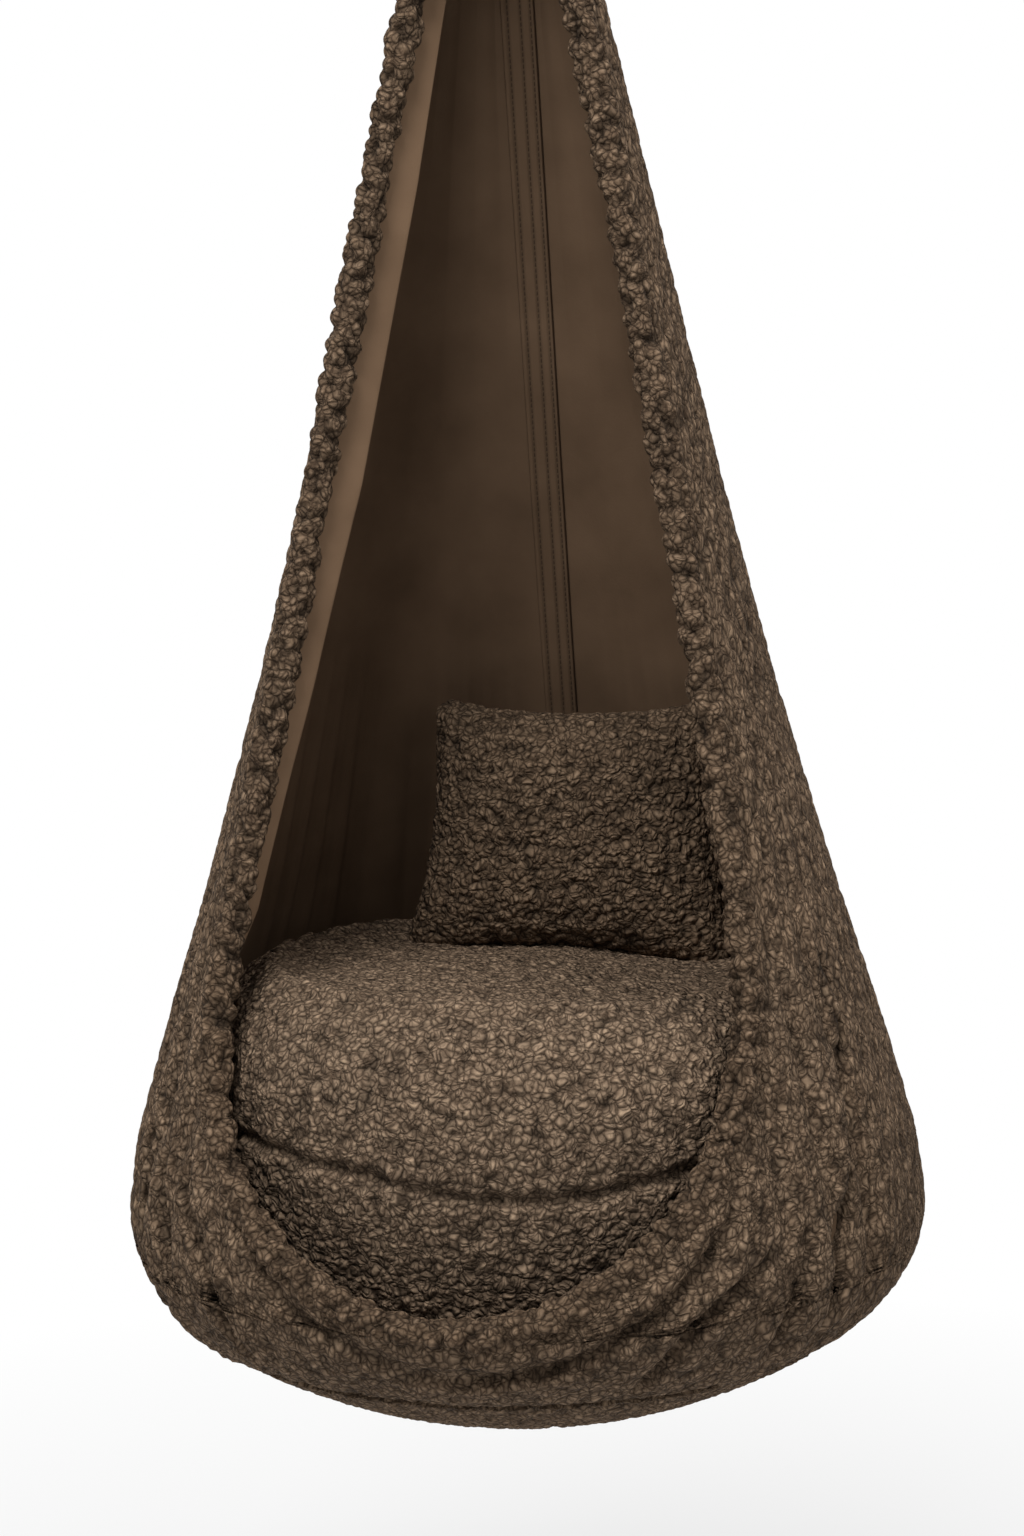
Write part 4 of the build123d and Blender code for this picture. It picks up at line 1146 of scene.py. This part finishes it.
print("cushion points in the fall:", int((fallen > 0.5).sum()))

# %% Relief, tufts and painted shade of the cushion
SEAM_DEPTH = 9 * MM
PUCKER_RISE = 5 * MM
DENT_DEPTH = 8 * MM
PINCH_DEPTH = 11 * MM
FALL_DEPTH = 18 * MM
BAND_SHADE_FADE = 40 * MM
relief = (PUCKER_RISE * pucker - SEAM_DEPTH * seam_line - DENT_DEPTH * pressed
          - PINCH_DEPTH * pinched - FALL_DEPTH * fallen)
cushion_points, cushion_tufts = tufted(cushion_fine, TUFT_SIZE, TUFT_RISE, 5.0, relief)
# Painted shade: the band is darker towards its foot below the seam, and along the seam, where shade
# falls under the cushion's top.
band_painted_shade = 0.34 * on_edge * np.clip(-from_seam / BAND_SHADE_FADE, 0, 1)
cushion_painted_shade = np.maximum(0.4 * seam_line, band_painted_shade)
cushion = make_piece("seat_cushion", cushion_points, mesh_faces(cushion_fine), seat_plush, "pod",
                     {"tuft": cushion_tufts, "painted_shade": cushion_painted_shade})
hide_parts("cushion_top", "cushion_side", "cushion_base", "cushion_core")

# %% [markdown]
# ## The throw pillow
#
# A small square pillow leans against the back. It starts as two flat squares joined at the
# edge, thicker in the middle, and the pressure rounds them. A pillow that has been sat against
# is no longer a plain square: its sides draw in, its upper corners stand up as ears, and its
# foot spreads and sags. The formula says so before the pressure starts, because cloth that is
# pressed out evenly would not find it by itself.

# %% Shape of the pillow
PILLOW_WIDTH = 292 * MM
PILLOW_HEIGHT = 238 * MM
PILLOW_THICK = 84 * MM
PILLOW_LEAN = np.radians(10)
PILLOW_ROLL = np.radians(0.8)
PILLOW_DRAW = 0.11
PILLOW_SPREAD = 0.085
PILLOW_EARS = 7 * MM
PILLOW_SAG = 12 * MM
PILLOW_ROUNDING = 0.07
PILLOW_FULLNESS = 3.2
PILLOW_EDGE = 3 * MM
PILLOW_SETTLE = np.array([16, -3, -18]) * MM
PILLOW_STEPS = 70
pillow_low, pillow_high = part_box("pillow_core")
pillow_centre = (np.array(pillow_low) + np.array(pillow_high)) / 2 + PILLOW_SETTLE
pillow_across = np.array([np.cos(PILLOW_ROLL), 0, -np.sin(PILLOW_ROLL)])
pillow_upward = np.array([np.sin(PILLOW_ROLL), np.sin(PILLOW_LEAN), np.cos(PILLOW_LEAN)])
pillow_forward = np.array([0, -np.cos(PILLOW_LEAN), np.sin(PILLOW_LEAN)])


def drawn_in(along, over):
    """What is left of a side at a share along it and a share over the other: it draws in by a
    parabola between the corners, and a steep power rounds the corners off."""
    corner = PILLOW_ROUNDING * over ** 12 * np.abs(along) ** 3
    return 1 - PILLOW_DRAW * (1 - over ** 2) - corner


def pillow_face(front):
    """One side of the pillow over the square of two shares, -1 to 1: the sides draw in between
    the corners, the upper corners stand up as ears, the foot spreads under its own weight and
    sags at the right, and the thickness is the product of two flattened arches."""
    share = np.sin(np.linspace(-0.5, 0.5, PILLOW_STEPS) * np.pi)
    u, v = np.meshgrid(share, share, indexing="xy")
    wide = PILLOW_WIDTH / 2 * u * drawn_in(u, v) * (1 - PILLOW_SPREAD * v)
    tall = PILLOW_HEIGHT / 2 * v * drawn_in(v, u)
    tall = tall + PILLOW_EARS * u ** 6 * np.clip(v, 0, 1)
    tall = tall - PILLOW_SAG * np.clip(u, 0, 1) * np.clip(-v, 0, 1)
    arches = (1 - np.abs(u) ** PILLOW_FULLNESS) * (1 - np.abs(v) ** PILLOW_FULLNESS)
    thick = PILLOW_THICK / 2 * arches ** 0.5
    middle = pillow_centre + wide[..., None] * pillow_across + tall[..., None] * pillow_upward
    return middle + front * (thick[..., None] + PILLOW_EDGE) * pillow_forward


print("pillow centre:", pillow_centre.round(3))

# %% The pillow closed, puffed and tufted
PILLOW_VOXEL = 5 * MM
PILLOW_HOLD = 4 * MM
PILLOW_TUFT = 9 * MM
PILLOW_TUFT_RISE = 3.4 * MM
front_side = pillow_face(1)
back_side = pillow_face(-1)
front_faces = grid_faces(PILLOW_STEPS, PILLOW_STEPS)
back_faces = front_faces[:, ::-1] + PILLOW_STEPS ** 2
index = np.arange(PILLOW_STEPS ** 2).reshape(PILLOW_STEPS, PILLOW_STEPS)
loop = np.concatenate([index[0, :-1], index[:-1, -1], index[-1, :0:-1], index[:0:-1, 0]])
ahead = np.roll(loop, -1)
edge_faces = np.stack([loop, loop + PILLOW_STEPS ** 2, ahead + PILLOW_STEPS ** 2, ahead], 1)
pillow_faces = front_faces.tolist() + back_faces.tolist() + edge_faces.tolist()
pillow_points = np.concatenate([front_side.reshape(-1, 3), back_side.reshape(-1, 3)])
pillow_even = even_mesh("pillow", pillow_points, pillow_faces, PILLOW_VOXEL)
off_middle = np.abs((mesh_points(pillow_even) - pillow_centre) @ pillow_forward)
pillow_fine = puffed("pillow", pillow_even, np.flatnonzero(off_middle < PILLOW_HOLD), PUFF_CAP)
pillow_lifted, pillow_tufts = tufted(pillow_fine, PILLOW_TUFT, PILLOW_TUFT_RISE, 9.0)
pillow = make_piece("throw_pillow", pillow_lifted, mesh_faces(pillow_fine), pillow_plush, "pillow",
                    {"tuft": pillow_tufts})
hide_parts("pillow_front", "pillow_back", "pillow_core")

# %% [markdown]
# ## Finishes: metal and plastic
#
# The fittings above the pod are turned and forged steel. Bare steel is never one grey: fine
# scratches scatter its highlight and the roughness wanders. The plate and the housing are
# painted, so they get a smooth coat with a faint orange-peel bump, and so do the moulded bush
# and plug. These pieces keep the frame's own meshes and only get a material.

# %% Hardware finishes
SCRATCH_STRETCH = (60.0, 60.0, 900.0)
COAT_SCALE = 30.0


def steel_finish(name, colour, roughness, scratch):
    """Bare steel: one colour, with a stretched noise that varies roughness and adds scratches."""
    finish, nodes, link, shader = new_finish(name, roughness, metallic=1.0)
    shader.inputs["Base Color"].default_value = colour
    stretch = node(nodes, "ShaderNodeMapping", Scale=SCRATCH_STRETCH)
    link(object_place(nodes), stretch.inputs["Vector"])
    grain = noise_at(nodes, link, stretch.outputs["Vector"], 1.0, 4.0).outputs["Fac"]
    link(spread(nodes, link, grain, roughness * 0.75, roughness * 1.3), shader.inputs["Roughness"])
    raised(nodes, link, grain, scratch, 0.2 * MM, shader)
    return finish


def coat_finish(name, dark, light, roughness, grain_scale):
    """Paint or moulded plastic: two close shades in a broad noise and a fine pebbled bump."""
    finish, nodes, link, shader = new_finish(name, roughness)
    where = object_place(nodes)
    shades = ramp(nodes, [(0.35, dark), (0.7, light)])
    link(noise_at(nodes, link, where, COAT_SCALE, 4.0).outputs["Fac"], shades.inputs["Fac"])
    link(shades.outputs["Color"], shader.inputs["Base Color"])
    pebbles = noise_at(nodes, link, where, grain_scale, 2.0).outputs["Fac"]
    raised(nodes, link, pebbles, 0.15, 0.3 * MM, shader)
    return finish


bare_steel = steel_finish("bare_steel", tint(196, 196, 194), 0.28, 0.12)
ball_steel = steel_finish("ball_steel", tint(214, 214, 212), 0.14, 0.04)
black_paint = coat_finish("black_paint", tint(34, 33, 32), tint(44, 43, 41), 0.42, 700.0)
bush_plastic = coat_finish("bush_plastic", tint(210, 205, 192), tint(222, 218, 206), 0.5, 900.0)
print("hardware finishes ready")

# %% Finishes on the frame's own nodes
HARD_NODES = {
    "ceiling_plate": black_paint, "swivel_housing": black_paint, "stem_bush": bush_plastic,
    "lower_race": ball_steel, "upper_race": ball_steel, "ball_cage": ball_steel,
    "swivel_eye": bare_steel, "stem_nut": bare_steel, "carabiner_body": bare_steel,
    "carabiner_gate": bare_steel, "gate_pin": bare_steel, "strap_ring": bare_steel,
    "anchor_bar": bare_steel, "neck_plug": bush_plastic}
for name, finish in HARD_NODES.items():
    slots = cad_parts[name].data.materials
    slots.clear()
    slots.append(finish)
print("finished nodes:", len(HARD_NODES))

# %% [markdown]
# ## Webbing
#
# The pod hangs by a flat woven strap, and a band of the same webbing grips its gathered neck.
# Webbing is woven in a herringbone: fine slanted ribs that change direction every few
# millimetres across the strap. A texture on Object coordinates would smear round the loops, so
# each point of the webbing carries two numbers, how far along the strap it is and how far across
# it, and the finish draws the ribs from those.

# %% Webbing finish
WORN_SCALE = 90.0
WORN_SHADES = (0.75, 1.25)
SEWN_SHADES = (1.0, 2.4)


def webbing_finish(name, dark, light, rib, chevron):
    """Woven strap: a sine of the distance along plus the distance across, which runs to and fro
    over each chevron, gives slanted ribs. Thread that sews the strap shows paler."""
    finish, nodes, link, shader = new_finish(name, 0.8, sheen=0.1)
    zigzag = worked(nodes, link, "PINGPONG", mark_on(nodes, "side"), chevron)
    slant = worked(nodes, link, "ADD", mark_on(nodes, "run"), zigzag)
    wave = worked(nodes, link, "SINE", worked(nodes, link, "MULTIPLY", slant, 2 * np.pi / rib))
    weave = worked(nodes, link, "MULTIPLY_ADD", wave, 0.5, 0.5)
    shades = ramp(nodes, [(0.1, dark), (0.8, light)])
    link(weave, shades.inputs["Fac"])
    worn = noise_at(nodes, link, object_place(nodes), WORN_SCALE, 3.0).outputs["Fac"]
    level = worked(nodes, link, "MULTIPLY", spread(nodes, link, worn, *WORN_SHADES),
                   spread(nodes, link, mark_on(nodes, "stitch"), *SEWN_SHADES))
    shaded(nodes, link, shades.outputs["Color"], level, shader)
    raised(nodes, link, weave, 0.7, 0.5 * MM, shader)
    return finish


brown_webbing = webbing_finish("brown_webbing", tint(40, 30, 23), tint(78, 63, 50), 2.2 * MM,
                               4.75 * MM)
print("webbing finish ready")

# %% [markdown]
# ## The hanging strap
#
# The strap is one closed loop of webbing: over the bar of the ring, down through the plug in the
# neck, round a hidden bar and back up. Between the bars its two layers lie on each other and are
# sewn together in a box with a cross, the usual seam for a strap that carries a person. A flat
# profile with rounded edges is carried along the loop, and the thread is raised on its outside.

# %% The strap's line
STRAP_WIDTH = 38 * MM
STRAP_THICK = 3 * MM
STRAP_GAP = 0.2 * MM
STRAP_TAPER = 28 * MM
BAR_RADIUS = 4 * MM
LOOP_STEPS = 36
RUN_STEPS = 170
strap_low, strap_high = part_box("hanging_strap")
loop_radius = BAR_RADIUS + STRAP_GAP + STRAP_THICK / 2
upper_bar = strap_high.z - loop_radius - STRAP_THICK / 2
lower_bar = strap_low.z + loop_radius + STRAP_THICK / 2


def strap_line():
    """The strap's middle line in y and z, once round: half a circle over the upper bar, down the
    front, half a circle under the lower bar, up the back. Past each bar the two runs close in a
    smooth step over the taper until the layers touch."""
    turn = np.linspace(0, np.pi, LOOP_STEPS, endpoint=False)
    over = loop_radius * np.stack([np.cos(turn), np.sin(turn)], 1)
    z = np.linspace(upper_bar, lower_bar, RUN_STEPS, endpoint=False)
    near = np.clip(np.minimum(upper_bar - z, z - lower_bar) / STRAP_TAPER, 0, 1)
    apart = loop_radius + (STRAP_THICK / 2 + STRAP_GAP - loop_radius) * eased(near)
    front = np.stack([-apart, z], 1)
    back = np.stack([apart, upper_bar + lower_bar - z], 1)
    return np.concatenate([over + [0, upper_bar], front, -over + [0, lower_bar], back])


line = strap_line()
run = np.cumsum(np.linalg.norm(line - np.roll(line, 1, 0), axis=1))
print("strap loop:", round(float(run[-1]), 3), "m")

# %% The strap's seam
BOX_HALF = 15 * MM
BOX_FOOT = neck_top + 5 * MM
BOX_HEAD = upper_bar - 25 * MM
BOX_PITCH = 3.6 * MM
BOX_THREAD = 0.65 * MM


def dashes(phase):
    """Stitches along a thread: a sine of the phase, steep enough to be cut off flat at 0 and 1."""
    return np.clip(2.5 * np.sin(phase) + 1.4, 0, 1)


def box_stitch(x, z, half, low, high):
    """Thread of a stitched box with a cross: 1 on its four sides and two diagonals, falling off as
    a bell, and broken into stitches."""
    across = np.abs(x) / half
    up = np.abs(z - (low + high) / 2) / ((high - low) / 2)
    sides = np.abs(across - 1) * half + FAR * (up > 1)
    ends = np.abs(up - 1) * (high - low) / 2 + FAR * (across > 1)
    cross = np.abs(across - up) * half * 0.7 + FAR * ((up > 1) | (across > 1))
    away = np.minimum(np.minimum(sides, ends), cross)
    return np.exp(-(away / BOX_THREAD) ** 2) * dashes((z + 0.8 * np.abs(x)) * 2 * np.pi / BOX_PITCH)


print("stitched box:", round((BOX_HEAD - BOX_FOOT) / MM, 1), "mm tall")

# %% The strap
STRAP_ACROSS = 62
STRAP_THREAD_RISE = 0.7 * MM
ahead = np.roll(line, -1, 0) - np.roll(line, 1, 0)
ahead = ahead / np.linalg.norm(ahead, axis=1, keepdims=True)
outward = np.stack([ahead[:, 1], -ahead[:, 0]], 1)
share = np.linspace(-0.99, 0.99, STRAP_ACROSS)
share = np.concatenate([share, share[::-1]])
face = np.repeat([1.0, -1.0], STRAP_ACROSS)
strap_x = np.repeat(share[None, :] * STRAP_WIDTH / 2, len(line), 0)
thick = face * STRAP_THICK / 2 * (1 - share ** 16) ** 0.25
thread = box_stitch(strap_x, line[:, 1:], BOX_HALF, BOX_FOOT, BOX_HEAD)
thread = thread * (face > 0) * (np.abs(outward[:, :1]) > 0.8)
off = thick + STRAP_THREAD_RISE * thread
strap_points = np.stack([strap_x, line[:, :1] + outward[:, :1] * off,
                         line[:, 1:] + outward[:, 1:] * off], -1).reshape(-1, 3)
strap_faces = grid_faces(len(line), 2 * STRAP_ACROSS, closed=True, looped=True)
strap = make_piece("webbing_strap", strap_points, strap_faces, brown_webbing, "pod",
                   {"run": np.repeat(run, 2 * STRAP_ACROSS), "side": strap_x.ravel() + STRAP_WIDTH,
                    "stitch": thread.ravel()})
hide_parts("hanging_strap")

# %% [markdown]
# ## The gathered neck
#
# At the top the plush is gathered round a plug and bound with a turn of webbing, so the neck ends
# in a tight frill round the strap. The band is a flat profile carried round the axis; its free
# end laps over its start. The frill runs from the edge of the skin inwards to the strap, and its
# waves are the same as the gathers of the skin below, so they line up.

# %% Neck band
wrap_low, wrap_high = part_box("neck_wrap")
WRAP_THICK = 5 * MM
WRAP_SINK = 1.4 * MM
WRAP_HUG = 0.7 * MM
WRAP_LAP = 1.3 * MM
WRAP_THREAD_RISE = 0.5 * MM
WRAP_STITCHES = 62
WRAP_ROWS = 44
WRAP_AROUND = 360
LAP_START = 1.9
LAP_END = 2.75
wrap_turn = np.linspace(-np.pi, np.pi, WRAP_AROUND, endpoint=False)
share = np.linspace(-0.985, 0.985, WRAP_ROWS)
share = np.concatenate([share, share[::-1]])
face = np.repeat([1.0, 0.0], WRAP_ROWS)
wrap_z = (wrap_low.z + wrap_high.z) / 2 + share * (wrap_high.z - wrap_low.z) / 2
lap = np.clip((wrap_turn - LAP_START) / 0.3, 0, 1) * np.clip((LAP_END - wrap_turn) / 0.02, 0, 1)
hug = WRAP_HUG * np.cos(GATHERS * wrap_turn)
wrap_rows = np.exp(-((np.abs(share) - 0.84) / 0.035) ** 2) * face
wrap_thread = wrap_rows[:, None] * dashes(wrap_turn * WRAP_STITCHES)
outer = face * WRAP_THICK * (1 - share ** 10) ** 0.3
wrap_radius = (pod_radius(wrap_z) + outer)[:, None] + WRAP_THREAD_RISE * wrap_thread
wrap_radius = wrap_radius - face[:, None] * (WRAP_SINK - hug - WRAP_LAP * lap)
wrap_levels = np.repeat(wrap_z[:, None], WRAP_AROUND, 1)
wrap_points = pod_point(wrap_radius, wrap_turn[None, :], wrap_levels)
wrap_faces = grid_faces(2 * WRAP_ROWS, WRAP_AROUND, closed=True, looped=True)
wrap_run = np.tile(wrap_radius.mean() * (wrap_turn + np.pi), 2 * WRAP_ROWS)
wrap = make_piece("neck_band", wrap_points.reshape(-1, 3), wrap_faces, brown_webbing, "pod",
                  {"run": wrap_run, "side": np.repeat(wrap_z + 1, WRAP_AROUND),
                              "stitch": wrap_thread.ravel()})
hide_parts("neck_wrap")

# %% Neck frill
FRILL_ROWS = 26
FRILL_AROUND = 432
FRILL_RISE = 6.5 * MM
FRILL_WAVE = 2.2 * MM
FRILL_STEP = 0.5 * MM
FRILL_TUFT = 7 * MM
FRILL_TUFT_RISE = 2 * MM
SLOT_HALF_WIDTH = 20.5 * MM
SLOT_HALF_DEPTH = 4.6 * MM
frill_turn = np.linspace(0, 2 * np.pi, FRILL_AROUND, endpoint=False)[None, :]
inside = np.linspace(0, 1, FRILL_ROWS)[:, None]
top_level = np.full((1, FRILL_AROUND), neck_top)
rim_radius = pod_radius(top_level) - dents(frill_turn, top_level)
frill_x = np.sin(frill_turn)
frill_y = -np.cos(frill_turn)
slot = (np.abs(frill_x / SLOT_HALF_WIDTH) ** 4 + np.abs(frill_y / SLOT_HALF_DEPTH) ** 4) ** -0.25
frill_radius = rim_radius + (slot - rim_radius) * inside ** 1.15
waves = np.cos(GATHERS * frill_turn) * np.sin(np.pi * inside)
swell = np.sin(np.pi * inside ** 0.7) * (1 - 0.35 * inside)
frill_z = neck_top + FRILL_RISE * swell - FRILL_WAVE * waves + FRILL_STEP * inside
frill_points = np.stack([frill_radius * frill_x, frill_radius * frill_y, frill_z], -1)
frill_flat = frill_points.reshape(-1, 3)
frill_tufts = tufts(frill_flat, FRILL_TUFT, 3.0)
frill_lift = tuft_lift(frill_tufts, FRILL_TUFT_RISE)
frill_flat = frill_flat + np.array([0, 0, 1]) * frill_lift[:, None]
frill_faces = grid_faces(FRILL_ROWS, FRILL_AROUND, closed=True)
frill = make_piece("neck_frill", frill_flat, frill_faces, brown_plush, "pod",
                   {"tuft": frill_tufts})

# %% [markdown]
# ## Floor, background and light
#
# The chair was photographed on white. The world is white to the camera and to anything shiny,
# and a soft grey to the cloth, so it fills the shadows without washing them out. One large lamp
# high at the front gives the main shape, a second one from the right opens the dark side, and a
# third lights the back. The floor is pale and far below the chair, and keeps a soft shadow.

# %% World
world = bpy.data.worlds.new("studio")
bpy.context.scene.world = world
world.use_nodes = True
world_nodes = world.node_tree.nodes
world_link = world.node_tree.links.new
FILL_BELOW = 0.16
FILL_ABOVE = 0.62
FILL_RANGE = (-0.5, 0.8)


def seen_directly(nodes, link):
    """1 for camera, glossy and transmitted rays, 0 for the rays that carry light to a surface."""
    ray = node(nodes, "ShaderNodeLightPath").outputs
    seen = worked(nodes, link, "MAXIMUM", ray["Is Camera Ray"], ray["Is Glossy Ray"])
    return worked(nodes, link, "MAXIMUM", seen, ray["Is Transmission Ray"])


background = world_nodes["Background"]
background.inputs["Color"].default_value = (1, 1, 1, 1)
direction = node(world_nodes, "ShaderNodeTexCoord")
parts = node(world_nodes, "ShaderNodeSeparateXYZ")
world_link(direction.outputs["Generated"], parts.inputs[0])
fill = spread(world_nodes, world_link, parts.outputs["Z"], FILL_BELOW, FILL_ABOVE, *FILL_RANGE)
level = node(world_nodes, "ShaderNodeMapRange")
level.inputs["To Max"].default_value = 1.0
world_link(seen_directly(world_nodes, world_link), level.inputs["Value"])
world_link(fill, level.inputs["To Min"])
world_link(level.outputs["Result"], background.inputs["Strength"])
print("world fill from", FILL_BELOW, "to", FILL_ABOVE)

# %% The floor's finish
FLOOR_GLOW = (0.6, 1.0)
FLOOR_GLOW_RANGE = (0.4, 1.6)
floor_finish = bpy.data.materials.new("pale_floor")
floor_finish.use_nodes = True
floor_nodes = floor_finish.node_tree.nodes
floor_link = floor_finish.node_tree.links.new
floor_shader = floor_nodes["Principled BSDF"]
floor_shader.inputs["Base Color"].default_value = (0.6, 0.6, 0.6, 1)
floor_shader.inputs["Roughness"].default_value = 0.9
floor_shader.inputs["Specular IOR Level"].default_value = 0.0
glow = node(floor_nodes, "ShaderNodeEmission")
blend = node(floor_nodes, "ShaderNodeMixShader")
from_axis = node(floor_nodes, "ShaderNodeVectorMath", operation="LENGTH")
flat_place = node(floor_nodes, "ShaderNodeVectorMath", operation="MULTIPLY")
flat_place.inputs[1].default_value = (1, 1, 0)
floor_link(object_place(floor_nodes), flat_place.inputs[0])
floor_link(flat_place.outputs["Vector"], from_axis.inputs[0])
whiter = spread(floor_nodes, floor_link, from_axis.outputs["Value"], *FLOOR_GLOW,
                *FLOOR_GLOW_RANGE)
share = worked(floor_nodes, floor_link, "MULTIPLY", seen_directly(floor_nodes, floor_link), whiter)
floor_link(share, blend.inputs[0])
floor_link(floor_shader.outputs[0], blend.inputs[1])
floor_link(glow.outputs[0], blend.inputs[2])
floor_link(blend.outputs[0], floor_nodes["Material Output"].inputs["Surface"])
print("floor finish ready")

# %% The floor
FLOOR_LEVEL = base_bottom - 0.4
FLOOR_REACH = 20
FLOOR_STEPS = 21
reach = np.linspace(-FLOOR_REACH, FLOOR_REACH, FLOOR_STEPS)
floor_x, floor_y = np.meshgrid(reach, reach)
floor_points = np.stack([floor_x, floor_y, 0 * floor_x + FLOOR_LEVEL], -1).reshape(-1, 3)
floor_mesh = bpy.data.meshes.new("floor")
floor_mesh.from_pydata(floor_points.tolist(), [], grid_faces(FLOOR_STEPS, FLOOR_STEPS).tolist())
floor_mesh.materials.append(floor_finish)
floor = bpy.data.objects.new("floor", floor_mesh)
bpy.context.scene.collection.objects.link(floor)
print("floor at", round(FLOOR_LEVEL, 3))

# %% Lamps
SEAT = (0, -0.05, belly_level + 0.2)
LAMP_SIZE = 1.6


def soft_lamp(name, place, power):
    """A square lamp at place, facing the seat."""
    lamp = bpy.data.lights.new(name, "AREA")
    lamp.size = LAMP_SIZE
    lamp.energy = power
    holder = bpy.data.objects.new(name, lamp)
    holder.location = place
    away = Vector(place) - Vector(SEAT)
    holder.rotation_euler = away.to_track_quat("Z", "Y").to_euler()
    bpy.context.scene.collection.objects.link(holder)
    print(name, power, "W")


soft_lamp("main_lamp", (-0.4, -2.0, 1.7), 105)
soft_lamp("side_lamp", (2.4, -0.9, 1.2), 30)
soft_lamp("back_lamp", (-0.9, 2.2, 1.2), 36)

# %% [markdown]
# ## Camera
#
# The photograph is taken from a little to the right of the open front and slightly above the
# seat, with a long lens. The camera looks at a point on the hanging line, turned and tipped by
# those two angles, with a small roll, because the chair hung a little out of plumb.

# %% Camera
AZIMUTH = np.radians(11)
PITCH = np.radians(7)
ROLL = np.radians(1.35)
DISTANCE = 2.548
AIM_LEVEL = -1.1285
SIDE_STEP = -7 * MM
FOCAL_PIXELS = 2908
PHOTO_PIXELS = 1024
SENSOR_WIDTH = 36.0
level_back = np.array([np.sin(AZIMUTH), -np.cos(AZIMUTH), 0]) * np.cos(PITCH)
back = level_back + np.array([0, 0, np.sin(PITCH)])
right = np.array([np.cos(AZIMUTH), np.sin(AZIMUTH), 0])
up = np.cross(back, right)
rolled_up = up * np.cos(ROLL) + right * np.sin(ROLL)
rolled_right = right * np.cos(ROLL) - up * np.sin(ROLL)
aim = np.array([0, 0, AIM_LEVEL]) + SIDE_STEP * right
eye = bpy.data.cameras.new("camera")
eye.sensor_fit = "HORIZONTAL"
eye.sensor_width = SENSOR_WIDTH
eye.lens = FOCAL_PIXELS / PHOTO_PIXELS * SENSOR_WIDTH
camera = bpy.data.objects.new("camera", eye)
turned = np.eye(4)
turned[:3, :3] = np.stack([rolled_right, rolled_up, back], 1)
turned[:3, 3] = aim + back * DISTANCE
camera.matrix_world = Matrix(turned.tolist())
bpy.context.scene.collection.objects.link(camera)
bpy.context.scene.camera = camera
bpy.context.scene.view_settings.view_transform = "Standard"
print("camera at", [round(float(value), 3) for value in turned[:3, 3]])
